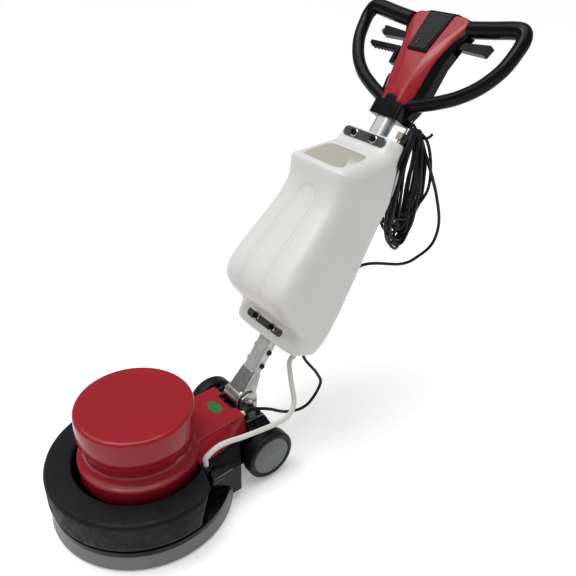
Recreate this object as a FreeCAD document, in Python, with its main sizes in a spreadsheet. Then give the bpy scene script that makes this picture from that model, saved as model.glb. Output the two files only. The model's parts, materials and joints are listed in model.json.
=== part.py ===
import FreeCAD, Part
import Sketcher

import math
import os

from FreeCAD import Placement, Rotation, Vector

# Rotary floor machine, millimetres.
# Origin: on the floor under the pad axis.  +Z up, -Y is the machine's front,
# +Y the operator's side, +X the operator's left.
# Everything carried by the handle is drawn upright round the tilt pivot, with its
# own Z along the handle tube, and is then leaned back by the handle's tilt.

doc = FreeCAD.newDocument("RotaryFloorMachine")
sheet = doc.addObject("Spreadsheet::Sheet", "Dimensions")

DRIVING = [
    # ---- deck, skirt and weight, from the floor up
    ("skirt_radius", 220.0, "outside of the splash skirt at the floor"),
    ("skirt_taper", 6.0, "how much the skirt narrows to its top"),
    ("skirt_wall", 4.0, "thickness of the skirt"),
    ("skirt_gap", 5.0, "floor to skirt"),
    ("skirt_top", 45.0, "top of the skirt, underside of the deck"),
    ("deck_radius", 218.0, "outside of the deck lip"),
    ("lip_top", 60.0, "top of the deck lip"),
    ("hub_radius", 137.0, "round wall inside the foot of the motor cover"),
    ("hub_top", 148.0, "top of that wall"),
    ("wall", 8.0, "thickness of the moulded deck"),
    ("ring_inner", 175.0, "inside of the weight ring"),
    ("ring_outer", 221.0, "outside of the weight ring"),
    ("ring_top", 144.0, "top of the weight ring"),
    # ---- covers
    ("cover_radius", 133.0, "outside of the motor cover"),
    ("cover_top", 297.0, "top of the motor cover"),
    ("cover_drum_foot", 232.0, "lower edge of the drum of the motor cover"),
    ("cover_neck", 120.0, "waist between that drum and its collar"),
    ("cover_wall", 4.0, "thickness of the covers"),
    ("cover_lip", 141.7, "outside of the collar at the foot of the motor cover"),
    ("cover_lip_top", 160.0, "top of that collar"),
    ("cover_foot", 120.0, "bottom of that collar"),
    # ---- tail of the deck
    ("tail_half", 100.0, "half width of the tail"),
    ("tail_rear", 322.0, "rear end of the tail"),
    ("tail_top", 125.0, "top of the tail under the tail cover"),
    ("block_top", 137.0, "top of the raised block under the pivot bracket"),
    ("wing_half", 152.0, "half width over the two wings ahead of the wheels"),
    ("wing_rear", 188.0, "rear outer corner of a wing"),
    ("wing_foot", 28.0, "floor to the wings"),
    # ---- wheels
    ("wheel_back", 285.0, "pad axis to wheel axle"),
    ("wheel_up", 75.4, "floor to wheel axle"),
    ("wheel_radius", 66.7, "outside of the tyre"),
    ("rim_radius", 52.0, "tyre seat, and edge of the hub cap"),
    ("wheel_inner", 110.0, "inner face of a wheel"),
    ("wheel_outer", 148.0, "outer face of a tyre"),
    ("axle_radius", 8.0, "wheel axle"),
    # ---- gearbox and motor
    ("gear_module", 1.5, "module of the planetary gears"),
    ("sun_teeth", 12.0, "teeth of the sun gear"),
    ("planet_teeth", 42.0, "teeth of each planet gear"),
    ("ring_teeth", 96.0, "teeth of the fixed ring gear"),
    ("gear_floor", 81.0, "underside of the planet gears"),
    ("gear_width", 14.0, "face width of the planet gears"),
    ("shaft_radius", 12.5, "motor shaft at its bearings"),
    ("bearing_radius", 26.0, "outside of the motor bearings"),
    ("bearing_width", 15.0, "width of every ball bearing"),
    ("output_radius", 20.0, "output shaft"),
    ("output_bearing", 34.0, "outside of the output bearing"),
    ("motor_radius", 98.0, "outside of the motor housing"),
    ("motor_floor", 108.0, "underside of the motor housing"),
    ("motor_top", 230.0, "top of the motor housing"),
    ("flange_radius", 112.0, "outside of the bolted flanges"),
    ("running", 0.05, "radial clearance of a running fit"),
    # ---- pad and its driver
    ("driver_radius", 200.0, "pad driver plate"),
    ("pad_radius", 206.0, "floor pad"),
    ("pad_thickness", 27.0, "thickness of the floor pad"),
    # ---- handle joint
    ("pivot_back", 290.0, "pad axis to tilt pivot"),
    ("pivot_up", 175.0, "floor to tilt pivot"),
    ("tilt", 35.1, "degrees the handle leans back"),
    ("pin_radius", 6.0, "tilt pivot pin"),
    ("barrel_radius", 32.0, "round foot of the handle socket"),
    ("barrel_half", 29.5, "half width of that foot"),
    ("ear_inner", 30.0, "inner face of the bracket ears"),
    ("ear_outer", 37.0, "outer face of the bracket ears"),
    ("sector_radius", 22.0, "notched lock sector"),
    # ---- handle tube, heights along the tube from the pivot
    ("tube_front", 5.8, "tube axis ahead of the pivot"),
    ("tube_width", 50.0, "tube across the machine"),
    ("tube_depth", 34.0, "tube front to back"),
    ("tube_corner", 14.0, "corner radius of the tube"),
    ("tube_wall", 2.5, "wall of the tube"),
    ("tube_start", 77.0, "lower end of the tube"),
    ("tube_end", 850.0, "upper end of the tube"),
    # ---- tank
    ("tank_foot", 173.0, "lower end of the tank"),
    ("tank_head", 743.0, "upper end of the tank"),
    ("tank_wall", 4.0, "wall of the tank"),
    ("strap_low", 207.0, "lower tank strap"),
    ("strap_high", 725.0, "upper tank strap"),
    ("strap_half", 70.0, "half length of a strap"),
    ("strap_bolt", 32.9, "strap bolts from the middle"),
    # ---- valve
    ("valve_side", 52.0, "valve rod from the middle"),
    ("valve_rear", 27.0, "valve rod behind the tube axis"),
    ("rod_radius", 2.5, "valve rod"),
    # ---- head
    ("neck_low", 792.0, "lower end of the head's neck"),
    ("grip_height", 1056.0, "grip bars at the head"),
    ("grip_rise", 19.0, "rise of a grip bar to its outer end"),
    ("grip_reach", 234.0, "outer end of a grip bar"),
    ("grip_radius", 19.5, "grip bar"),
    ("loop_radius", 15.0, "tube of the D-shaped loop"),
    ("lever_pivot", 76.0, "trigger pivots from the middle"),
    ("lever_height", 1014.0, "trigger pivots above the tilt pivot"),
    ("release_pivot", 30.0, "tilt lever pivot from the middle"),
    ("release_height", 936.0, "tilt lever pivot above the tilt pivot"),
]


class Size:
    """A length with the formula that binds it to the sheet, and its value now."""

    def __init__(self, formula, value):
        self.formula = formula
        self.value = value

    def join(self, sign, other, value):
        return Size(f"({self.formula} {sign} {formula(other)})", value)

    def __add__(self, other):
        return self.join("+", other, self.value + value(other))

    def __sub__(self, other):
        return self.join("-", other, self.value - value(other))

    def __mul__(self, other):
        return self.join("*", other, self.value * value(other))

    def __truediv__(self, other):
        return self.join("/", other, self.value / value(other))

    def __rsub__(self, other):
        return Size(f"({formula(other)} - {self.formula})", value(other) - self.value)

    def __neg__(self):
        return Size(f"(0 - {self.formula})", -self.value)

    __radd__ = __add__
    __rmul__ = __mul__


def value(size):
    """The number that a size stands for."""
    return size.value if isinstance(size, Size) else float(size)


def formula(size):
    """The text that binds a size to the sheet."""
    return size.formula if isinstance(size, Size) else f"{float(size):.6g}"


def values(sizes):
    return [value(size) for size in sizes]


def fill_sheet():
    """Put the driving dimensions in the sheet and hand them back by name."""
    sizes = {}
    for row, (alias, number, note) in enumerate(DRIVING, start=1):
        sheet.set(f"A{row}", note)
        sheet.set(f"B{row}", str(number))
        sheet.setAlias(f"B{row}", alias)
        sizes[alias] = Size(f"Dimensions.{alias}", number)
    doc.recompute()
    return sizes


class Dimensions:
    """Every driving dimension, read as an attribute."""

    def __init__(self, sizes):
        self.__dict__.update(sizes)


dim = Dimensions(fill_sheet())

X, Y, Z = Vector(1, 0, 0), Vector(0, 1, 0), Vector(0, 0, 1)
UPRIGHT = (Z, 0)
ALONG_X, AGAINST_X = (Y, 90), (Y, -90)
ALONG_Y = (X, -90)
ORIGIN = (0, 0, 0)
parts = {}


# ---------------------------------------------------------------- building helpers

def bind(thing, path, size):
    """Drive one property by its formula."""
    if isinstance(size, Size):
        thing.setExpression(path, size.formula)


def locate(thing, at, turn=UPRIGHT):
    thing.Placement = Placement(Vector(*values(at)), Rotation(*turn))
    for axis, size in zip("xyz", at):
        bind(thing, f"Placement.Base.{axis}", size)


def solid(kind, at, turn=UPRIGHT, **sizes):
    thing = doc.addObject(f"Part::{kind}", kind)
    for name, size in sizes.items():
        setattr(thing, name, value(size))
        bind(thing, name, size)
    locate(thing, at, turn)
    return thing


def rod(radius, length, at=ORIGIN, turn=UPRIGHT, angle=360):
    return solid("Cylinder", at, turn, Radius=radius, Height=length, Angle=angle)


def cone(low, high, length, at=ORIGIN, turn=UPRIGHT):
    return solid("Cone", at, turn, Radius1=low, Radius2=high, Height=length)


def block(low, high):
    """A box between two corners."""
    spans = [b - a for a, b in zip(low, high)]
    return solid("Box", low, Length=spans[0], Width=spans[1], Height=spans[2])


def turned_block(corner, size, turn, about=Vector()):
    """A box set down at a corner and turned, with that corner, about a point."""
    box = solid("Box", ORIGIN, Length=size[0], Width=size[1], Height=size[2])
    box.Placement = Placement(about + turn.multVec(corner), turn)
    return box


def fuse(*things):
    whole = doc.addObject("Part::MultiFuse", "Fuse")
    whole.Shapes = list(things)
    return whole


def group(*things):
    """Separate solids kept in one node."""
    whole = doc.addObject("Part::Compound", "Group")
    whole.Links = list(things)
    return whole


def cut(base, *tools):
    whole = doc.addObject("Part::Cut", "Cut")
    whole.Base = base
    whole.Tool = tools[0] if len(tools) == 1 else fuse(*tools)
    return whole


def common(first, second):
    whole = doc.addObject("Part::MultiCommon", "Common")
    whole.Shapes = [first, second]
    return whole


def ring(outer, inner, length, at=ORIGIN, turn=UPRIGHT):
    return cut(rod(outer, length, at, turn), rod(inner, length, at, turn))


def shaped(shape, name="Shape"):
    """A piece whose form comes straight from Part's own functions."""
    thing = doc.addObject("Part::Feature", name)
    thing.Shape = shape
    return thing


def soften(base, radius, chosen):
    """Round the chosen edges of a piece."""
    doc.recompute()
    rounded = doc.addObject("Part::Fillet", "Rounded")
    rounded.Base = base
    rounded.Edges = [
        (number, radius, radius)
        for number, edge in enumerate(base.Shape.Edges, start=1)
        if chosen(edge)
    ]
    return rounded


def runs_along(direction):
    """Picks straight edges parallel to a direction."""
    def chosen(edge):
        if not isinstance(edge.Curve, Part.Line):
            return False
        return abs(abs(edge.tangentAt(edge.FirstParameter).dot(direction)) - 1) < 1e-6
    return chosen


def plane_of(body, role):
    return next(f for f in body.Origin.OriginFeatures if f.Role == role)


def sketch_on(body, role, points, offset=0):
    """A closed outline whose corners are held by the sheet."""
    sketch = body.newObject("Sketcher::SketchObject", "Outline")
    sketch.AttachmentSupport = (plane_of(body, role), "")
    sketch.MapMode = "FlatFace"
    sketch.AttachmentOffset = Placement(Vector(0, 0, value(offset)), Rotation())
    bind(sketch, "AttachmentOffset.Base.z", offset)
    corners = [Vector(value(a), value(b), 0) for a, b in points]
    count = len(corners)
    for i in range(count):
        sketch.addGeometry(Part.LineSegment(corners[i], corners[(i + 1) % count]), False)
    for i in range(count):
        sketch.addConstraint(Sketcher.Constraint("Coincident", i, 2, (i + 1) % count, 1))
    for i, point in enumerate(points):
        for kind, size in zip(("DistanceX", "DistanceY"), point):
            name = f"{kind}{i}"
            number = sketch.addConstraint(Sketcher.Constraint(kind, -1, 1, i, 1, value(size)))
            sketch.renameConstraint(number, name)
            bind(sketch, f"Constraints.{name}", size)
    return sketch


def new_body():
    return doc.addObject("PartDesign::Body", "Body")


def prism(points, low, high, role="XY_Plane"):
    """An outline drawn on a main plane, padded between two places on the third axis."""
    if role == "XZ_Plane":
        low, high = 0 - high, 0 - low
    body = new_body()
    pad = body.newObject("PartDesign::Pad", "Pad")
    pad.Profile = sketch_on(body, role, points, low)
    pad.Length = value(high) - value(low)
    if isinstance(high, Size) or isinstance(low, Size):
        pad.setExpression("Length", f"{formula(high)} - {formula(low)}")
    return body


def lathe(points):
    """A profile of (radius, height) corners turned about the Z axis."""
    body = new_body()
    sketch = sketch_on(body, "XZ_Plane", points)
    turned = body.newObject("PartDesign::Revolution", "Revolution")
    turned.Profile = sketch
    turned.ReferenceAxis = (sketch, ["V_Axis"])
    turned.Angle = 360
    return body


def mirrored(points):
    """Right half outline, completed with its mirror image."""
    return list(points) + [(-a, b) for a, b in reversed(points)]


def keep(node, thing, turn=UPRIGHT, at=ORIGIN):
    """Name a finished sub-part that stands still in the machine's own frame."""
    if turn != UPRIGHT or at != ORIGIN:
        locate(thing, at, turn)
    thing.Label = node
    parts[node] = thing


def keep_on_handle(node, thing):
    """Name a finished sub-part of the handle and lean it back on its pivot."""
    thing.Label = node
    tilt = value(dim.tilt)
    locate(thing, (0, dim.pivot_back, dim.pivot_up), (-X, tilt))
    bind(thing, "Placement.Rotation.Angle", dim.tilt)
    parts[node] = thing


def forward(depth):
    """Local Y of a point this far ahead of the tube axis."""
    return -(dim.tube_front + depth)


def rounded_bar(width, depth, corner, low, high):
    """Upright bar of rounded rectangular section, centred on the tube axis."""
    bar = block((width * -0.5, forward(depth * 0.5), low),
                (width * 0.5, forward(depth * -0.5), high))
    return soften(bar, value(corner), runs_along(Z))


def hex_bar(across, length, at, turn=UPRIGHT):
    return solid("Prism", at, turn, Circumradius=across / math.sqrt(3),
                 Height=length)


def tube_along(points, radius):
    """Round cord or hose through a few points, as one smooth sweep."""
    path = Part.BSplineCurve()
    path.interpolate([Vector(*values(point)) for point in points])
    spine = Part.Wire([path.toShape()])
    start = path.value(path.FirstParameter)
    heading = path.tangent(path.FirstParameter)[0]
    section = Part.Wire([Part.Circle(start, heading, value(radius)).toShape()])
    return spine.makePipeShell([section], True, False)


def polar(radius, degrees):
    angle = math.radians(degrees)
    return radius * math.cos(angle), radius * math.sin(angle)


# ---------------------------------------------------------------- deck and covers

CORNER_BOLTS = [(sx, sy) for sx in (-1, 1) for sy in (-1, 1)]
FLANGE_BOLTS = [polar(106, 45 + 90 * quarter) for quarter in range(4)]
SHELF_LOW, SHELF_HIGH = 84, 92
HOSE_PLACE = (122, 108)
TAIL_FRONT, TAIL_FRONT_TOP = 100, 164
TAIL_REAR, TAIL_REAR_TOP = 256, 174
BADGE_BACK = 213
BRACKET_BOLTS = [(52 * sx, 292 + 18 * sy) for sx, sy in CORNER_BOLTS]


def wing_outline(side, inset=0):
    """The wing between the weight ring's end and the wheel, seen from above."""
    return [
        (side * (95 + inset), 118 + inset),
        (side * (dim.wing_half - inset), 107 + inset),
        (side * (dim.wing_half - inset), dim.wing_rear - inset),
        (side * (95 + inset), dim.wing_rear + 34 - 2 * inset),
    ]


def deck_housing():
    lip = rod(dim.deck_radius, dim.lip_top - dim.skirt_top, (0, 0, dim.skirt_top))
    hub = rod(dim.hub_radius, dim.hub_top - dim.skirt_top, (0, 0, dim.skirt_top))
    tail = block((-dim.tail_half, 100, dim.skirt_top),
                 (dim.tail_half, dim.tail_rear, dim.tail_top))
    raised = prism(mirrored([(dim.tail_half, dim.tail_top), (70, dim.block_top)]),
                   260, dim.tail_rear, "XZ_Plane")
    wings = [prism(wing_outline(side), dim.wing_foot, dim.tail_top) for side in (1, -1)]
    slopes = [
        prism([(side * 104, dim.tail_top + 1), (side * 104, dim.tail_top),
               (side * 170, dim.tail_top - 17), (side * 170, dim.tail_top + 1)],
              60, 240, "XZ_Plane")
        for side in (1, -1)
    ]
    skirt_room = rod(dim.skirt_radius + 2, dim.skirt_top)
    body = fuse(cut(fuse(tail, *wings), skirt_room, *slopes), lip, hub, raised)

    inner = dim.hub_radius - dim.wall
    below = rod(inner, SHELF_LOW - dim.skirt_top, (0, 0, dim.skirt_top))
    above = rod(inner, dim.hub_top - SHELF_HIGH, (0, 0, SHELF_HIGH))
    opening = rod(91, dim.hub_top, (0, 0, dim.skirt_top))
    tail_room = block((dim.wall - dim.tail_half, dim.hub_radius + 4, dim.skirt_top),
                      (dim.tail_half - dim.wall, dim.tail_rear - dim.wall,
                       dim.tail_top - dim.wall))
    wing_rooms = [prism(wing_outline(side, 6), dim.wing_foot, 103) for side in (1, -1)]
    collar_room = ring(dim.cover_lip + 0.5, dim.hub_radius, 20, (0, 0, dim.cover_foot - 0.5))
    axle_hole = rod(dim.axle_radius, dim.tail_half * 2,
                    (-dim.tail_half, dim.wheel_back, dim.wheel_up), ALONG_X)
    water_way = rod(4, 100, (*HOSE_PLACE, 40))
    grommet_seat = rod(12, 30, (*HOSE_PLACE, 110))
    screw_holes = [rod(4.5, SHELF_HIGH - SHELF_LOW, (x, y, SHELF_LOW)) for x, y in FLANGE_BOLTS]
    foot_holes = [rod(4.5, 30, (x, y, 112)) for x, y in BRACKET_BOLTS]
    keep("deck_housing", cut(body, below, above, opening, tail_room, *wing_rooms,
                             collar_room, axle_hole, water_way, grommet_seat,
                             *screw_holes, *foot_holes))


def splash_skirt():
    top = dim.skirt_radius - dim.skirt_taper
    keep("splash_skirt", lathe([
        (dim.skirt_radius - dim.skirt_wall, dim.skirt_gap),
        (dim.skirt_radius, dim.skirt_gap),
        (top, dim.skirt_top),
        (top - dim.skirt_wall, dim.skirt_top),
    ]))


def weight_ring():
    """C-shaped weight round the motor cover, open towards the handle."""
    full = lathe([
        (dim.ring_inner, dim.lip_top),
        (dim.ring_outer - 8, dim.lip_top),
        (dim.ring_outer, dim.lip_top + 16),
        (dim.ring_outer, dim.ring_top - 10),
        (dim.ring_outer - 4, dim.ring_top - 3),
        (dim.ring_outer - 11, dim.ring_top),
        (dim.ring_inner + 8, dim.ring_top),
        (dim.ring_inner, dim.ring_top - 8),
    ])
    gap = prism(mirrored([(260, 300), (260, 42), (218, 42), (208, 63), (191, 84), (168, 99),
                          (140, 104.5), (114, 106)]), 0, 200)
    keep("weight_ring", cut(full, gap))


def motor_cover():
    """Drum over the motor: it narrows to a neck, then flares to the collar at its foot."""
    inner = dim.cover_radius - dim.cover_wall
    waist = dim.cover_neck - dim.cover_wall
    shell = lathe([
        (0, dim.cover_top - 1),
        (dim.cover_radius - 10, dim.cover_top),
        (dim.cover_radius - 4, dim.cover_top - 2),
        (dim.cover_radius - 1, dim.cover_top - 5),
        (dim.cover_radius, dim.cover_top - 10),
        (dim.cover_radius, dim.cover_drum_foot + 5),
        (dim.cover_radius - 2, dim.cover_drum_foot - 3),
        (dim.cover_neck + 5, dim.cover_drum_foot - 14),
        (dim.cover_neck + 1, dim.cover_drum_foot - 26),
        (dim.cover_neck, dim.cover_drum_foot - 37),
        (dim.cover_neck + 2, dim.cover_lip_top + 23),
        (dim.cover_neck + 6, dim.cover_lip_top + 13),
        (dim.cover_neck + 13, dim.cover_lip_top + 4),
        (dim.cover_lip - 4, dim.cover_lip_top),
        (dim.cover_lip, dim.cover_lip_top - 4),
        (dim.cover_lip, dim.cover_foot),
        (dim.cover_lip - dim.cover_wall, dim.cover_foot),
        (dim.cover_lip - dim.cover_wall, dim.hub_top),
        (waist, dim.hub_top),
        (waist, dim.cover_drum_foot - 26),
        (inner, dim.cover_drum_foot - 5),
        (inner, dim.cover_top - 11),
        (inner - 6, dim.cover_top - 5),
        (0, dim.cover_top - 5),
    ])
    keep("motor_cover", shell)


def tail_wedge(wall):
    """Tapering wedge over the tail, loft between its front and rear faces."""
    low = value(dim.tail_top)
    ends = []
    for y, half_low, half_high, high in ((TAIL_FRONT, 113, 71, TAIL_FRONT_TOP),
                                         (TAIL_REAR - wall, 81, 68.4, TAIL_REAR_TOP)):
        section = mirrored([(half_low - wall, low), (half_high - wall, high - wall)])
        corners = [Vector(x, y, z) for x, z in section]
        ends.append(Part.makePolygon(corners + corners[:1]))
    return Part.makeLoft(ends, True, True)


def tail_cover():
    shell = shaped(tail_wedge(0).cut(tail_wedge(value(dim.cover_wall))), "Wedge")
    lip_room = rod(dim.cover_lip + 0.5, dim.cover_lip_top + 0.5)
    neck_room = rod(dim.cover_neck + 7, 250)
    flare_room = cone(dim.cover_lip - 1.5, dim.cover_neck + 7, 13, (0, 0, dim.cover_lip_top))
    grommet_room = rod(14, 60, (*HOSE_PLACE, 120))
    notch = block((-32.5, 244, dim.tail_top), (32.5, 270, 200))
    notch_walls = block((-36.5, 240, dim.tail_top), (36.5, 254, 171))
    keep("tail_cover", cut(fuse(shell, notch_walls), lip_room, neck_room, flare_room,
                           grommet_room, notch))


def cover_badge():
    """Plain oval badge lying on the sloping top of the tail cover."""
    oval = Part.Ellipse(Vector(0, 0, 0), 26, 15)
    disc = Part.Face(Part.Wire([oval.toShape()])).extrude(Vector(0, 0, 1.2))
    slope = (TAIL_REAR_TOP - TAIL_FRONT_TOP) / (TAIL_REAR - TAIL_FRONT)
    rise = TAIL_FRONT_TOP + (BADGE_BACK - TAIL_FRONT) * slope + 0.02
    keep("cover_badge", shaped(disc, "Badge"), (X, math.degrees(math.atan(slope))),
         (0, BADGE_BACK, rise))


# ---------------------------------------------------------------- gearbox

PRESSURE_ANGLE = math.radians(25)
FLANK_BACKLASH = 0.16


def involute(angle):
    return math.tan(angle) - angle


def gear_wire(teeth, tip, root, thinner):
    """Outline of an involute gear with a tooth centred on +X."""
    pitch = value(dim.gear_module) * teeth / 2
    base = pitch * math.cos(PRESSURE_ANGLE)

    def half_tooth(radius):
        lean = math.acos(min(1, base / radius))
        at_pitch = math.pi / (2 * teeth) - thinner / (2 * pitch)
        return at_pitch + involute(PRESSURE_ANGLE) - involute(lean)

    def at(radius, angle):
        return Vector(radius * math.cos(angle), radius * math.sin(angle), 0)

    start = max(base, root)
    radii = [start + (tip - start) * step / 4 for step in range(5)]
    edges = []
    for tooth in range(teeth):
        middle = 2 * math.pi * tooth / teeth
        following = middle + 2 * math.pi / teeth
        rising = [at(radius, middle - half_tooth(radius)) for radius in radii]
        falling = [at(radius, middle + half_tooth(radius)) for radius in reversed(radii)]
        foot = at(root, middle + half_tooth(start))
        next_foot = at(root, following - half_tooth(start))
        next_start = at(start, following - half_tooth(start))
        for flank in (rising, falling):
            curve = Part.BSplineCurve()
            curve.interpolate(flank)
            if flank is falling:
                edges.append(Part.Arc(rising[-1], at(tip, middle), falling[0]).toShape())
            edges.append(curve.toShape())
        if start > root:
            edges.append(Part.LineSegment(falling[-1], foot).toShape())
        valley = at(root, (middle + following) / 2)
        edges.append(Part.Arc(foot, valley, next_foot).toShape())
        if start > root:
            edges.append(Part.LineSegment(next_foot, next_start).toShape())
    return Part.Wire(edges)


def pitch_radius(teeth):
    return value(dim.gear_module) * value(teeth) / 2


def toothed(teeth, bore, low, width):
    module = value(dim.gear_module)
    pitch = pitch_radius(teeth)
    wire = gear_wire(int(value(teeth)), pitch + module, pitch - 1.25 * module, FLANK_BACKLASH)
    blank = Part.Face(wire).extrude(Vector(0, 0, width))
    blank.translate(Vector(0, 0, low))
    return blank.cut(Part.makeCylinder(bore, width, Vector(0, 0, low)))


PLANET_ORBIT = pitch_radius(dim.sun_teeth) + pitch_radius(dim.planet_teeth)
PLANET_PIN = 6
CARRIER_LOW, CARRIER_HIGH = 74, 79
BOX_FLOOR, BOX_TOP, BOX_RADIUS = 56, 100, 90
RING_SEAT = 80


def sun_gear():
    gear = toothed(dim.sun_teeth, 5, value(dim.gear_floor) - 1, value(dim.gear_width) + 2)
    keep("sun_gear", shaped(gear, "Sun"))


def planet_gears():
    for number in range(3):
        gear = toothed(dim.planet_teeth, PLANET_PIN + value(dim.running),
                       value(dim.gear_floor), value(dim.gear_width))
        gear.rotate(Vector(), Z, 180 / value(dim.planet_teeth))
        gear.translate(Vector(PLANET_ORBIT, 0, 0))
        gear.rotate(Vector(), Z, 120 * number)
        keep(f"planet_gear_{number + 1}", shaped(gear, "Planet"))


def ring_gear():
    module = value(dim.gear_module)
    pitch = pitch_radius(dim.ring_teeth)
    half_pitch = 180 / value(dim.ring_teeth)
    spaces = gear_wire(int(value(dim.ring_teeth)), pitch + 1.25 * module, pitch - module,
                       -FLANK_BACKLASH)
    spaces.rotate(Vector(), Z, half_pitch)
    rim = Part.Wire([Part.Circle(Vector(), Z, RING_SEAT).toShape()])
    height = value(dim.gear_width) + 2
    blank = Part.Face(rim).extrude(Vector(0, 0, height))
    teeth = blank.cut(Part.Face(spaces).extrude(Vector(0, 0, height)))
    teeth.translate(Vector(0, 0, value(dim.gear_floor) - 1))
    keep("ring_gear", shaped(teeth, "RingGear"))


def gearbox_housing():
    cup = lathe([
        (30, BOX_FLOOR), (BOX_RADIUS, BOX_FLOOR), (BOX_RADIUS, SHELF_HIGH),
        (dim.flange_radius, SHELF_HIGH), (dim.flange_radius, BOX_TOP),
        (RING_SEAT + 0.02, BOX_TOP), (RING_SEAT + 0.02, dim.gear_floor - 1),
        (RING_SEAT - 4, dim.gear_floor - 1), (RING_SEAT - 4, 73),
        (dim.output_bearing, 73), (dim.output_bearing, 58), (30, 58),
    ])
    holes = [rod(4.5, BOX_TOP - SHELF_HIGH, (x, y, SHELF_HIGH)) for x, y in FLANGE_BOLTS]
    keep("gearbox_housing", cut(cup, *holes))


def gearbox_cover():
    plate = lathe([
        (14, BOX_TOP), (dim.flange_radius, BOX_TOP), (dim.flange_radius, dim.motor_floor),
        (34, dim.motor_floor), (34, 118), (dim.bearing_radius, 118),
        (dim.bearing_radius, 103), (14, 103),
    ])
    holes = [rod(4.5, 8, (x, y, BOX_TOP)) for x, y in FLANGE_BOLTS]
    keep("gearbox_cover", cut(plate, *holes))


def bearing_profile(bore, outside, low):
    """Section of a ball bearing with a shallow groove for each seal."""
    high = low + dim.bearing_width
    seal_in = bore + (outside - bore) * 0.3
    seal_out = bore + (outside - bore) * 0.7
    return [
        (bore, low), (seal_in, low), (seal_in, low + 1), (seal_out, low + 1),
        (seal_out, low), (outside, low), (outside, high), (seal_out, high),
        (seal_out, high - 1), (seal_in, high - 1), (seal_in, high), (bore, high),
    ]


def bearings():
    bore = dim.shaft_radius + dim.running
    lower = lathe(bearing_profile(bore, dim.bearing_radius, 103))
    upper = lathe(bearing_profile(bore, dim.bearing_radius, dim.motor_top + 2))
    keep("motor_bearings", group(lower, upper))
    output = lathe(bearing_profile(dim.output_radius + dim.running, dim.output_bearing, 58))
    keep("output_bearing", output)


def planet_carrier():
    """Output shaft, disc and the three pins that carry the planet gears."""
    shaft = rod(dim.output_radius, CARRIER_HIGH - 40, (0, 0, 40))
    disc = rod(60, CARRIER_HIGH - CARRIER_LOW, (0, 0, CARRIER_LOW))
    pins = [
        rod(PLANET_PIN, dim.gear_floor + dim.gear_width + 2 - CARRIER_HIGH,
            (*polar(PLANET_ORBIT, 120 * number), CARRIER_HIGH))
        for number in range(3)
    ]
    collars = [
        rod(PLANET_PIN + 3, dim.gear_floor - 0.5 - CARRIER_HIGH,
            (*polar(PLANET_ORBIT, 120 * number), CARRIER_HIGH))
        for number in range(3)
    ]
    keep("planet_carrier", fuse(shaft, disc, *pins, *collars))


# ---------------------------------------------------------------- motor

STATOR_RADIUS, STATOR_BORE, STATOR_SLOTS = 92.3, 52, 24
STACK_LOW, STACK_HEIGHT = 136, 68
WINDING_HEIGHT = 13
AIR_GAP = 0.7
FAN_BLADES = 9


def motor_housing():
    shell = lathe([
        (STATOR_RADIUS, dim.motor_floor), (dim.flange_radius, dim.motor_floor),
        (dim.flange_radius, dim.motor_floor + 8), (dim.motor_radius, dim.motor_floor + 8),
        (dim.motor_radius, dim.motor_top), (STATOR_RADIUS, dim.motor_top),
    ])
    holes = [rod(4.5, 8, (x, y, dim.motor_floor)) for x, y in FLANGE_BOLTS]
    keep("motor_housing", cut(shell, *holes))


def motor_stator():
    """Laminated ring with slots for the windings."""
    core = ring(STATOR_RADIUS - 0.1, STATOR_BORE, STACK_HEIGHT, (0, 0, STACK_LOW))
    slots = [
        turned_block(Vector(STATOR_BORE + 2, -3, STACK_LOW), (22, 6, STACK_HEIGHT),
                     Rotation(Z, 360 / STATOR_SLOTS * number))
        for number in range(STATOR_SLOTS)
    ]
    keep("motor_stator", cut(core, *slots))


def winding_ring(low):
    high = low + WINDING_HEIGHT
    return lathe([(56, low + 3), (60, low), (80, low), (84, low + 3), (84, high - 3),
                  (80, high), (60, high), (56, high - 3)])


def stator_windings():
    lower = winding_ring(STACK_LOW - WINDING_HEIGHT - 0.5)
    upper = winding_ring(STACK_LOW + STACK_HEIGHT + 0.5)
    keep("stator_windings", group(lower, upper))


def motor_end_bell():
    top = dim.motor_top
    keep("motor_end_bell", lathe([
        (14, top - 4), (34, top - 4), (34, top), (dim.motor_radius, top),
        (dim.motor_radius, top + 8), (34, top + 12), (34, top + 17),
        (dim.bearing_radius, top + 17), (dim.bearing_radius, top + 2), (14, top + 2),
    ]))


def rotor():
    top = dim.motor_top + 17
    keep("rotor_shaft", lathe([
        (0, 79.5), (5, 79.5), (5, 101.5), (dim.shaft_radius, 101.5), (dim.shaft_radius, top),
        (10, top), (10, top + 27), (0, top + 27),
    ]))
    keep("rotor_core", ring(STATOR_BORE - AIR_GAP, dim.shaft_radius, STACK_HEIGHT - 4,
                            (0, 0, STACK_LOW + 2)))


def cooling_fan():
    low = dim.motor_top + 22
    hub = rod(18, 20, (0, 0, low))
    disc = rod(80, 2.5, (0, 0, low))
    blades = [
        turned_block(Vector(16, -1.25, value(low)), (62, 2.5, 18),
                     Rotation(Z, 360 / FAN_BLADES * number))
        for number in range(FAN_BLADES)
    ]
    bore = rod(10, 20, (0, 0, low))
    keep("cooling_fan", cut(fuse(hub, disc, *blades), bore))


def motor_bolts():
    """Four bolts hold motor, gearbox cover and gearbox to the shelf of the deck."""
    bolts = []
    for x, y in FLANGE_BOLTS:
        shank = rod(4, 44, (x, y, 72))
        head = hex_bar(13, 5.3, (x, y, dim.motor_floor + 8))
        nut = hex_bar(13, 6.5, (x, y, SHELF_LOW - 6.5))
        bolts.append(fuse(shank, head, nut))
    keep("motor_bolts", group(*bolts))


def capacitors():
    """Start and run capacitors lying under the tail cover."""
    cans = [rod(17, 84, (x, 152, dim.tail_top + 17.2), ALONG_Y) for x in (-24, 24)]
    keep("capacitors", group(*cans))


# ---------------------------------------------------------------- pad and driver

HUB_LOBES = [polar(44, 90 + 120 * number) for number in range(3)]


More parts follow.
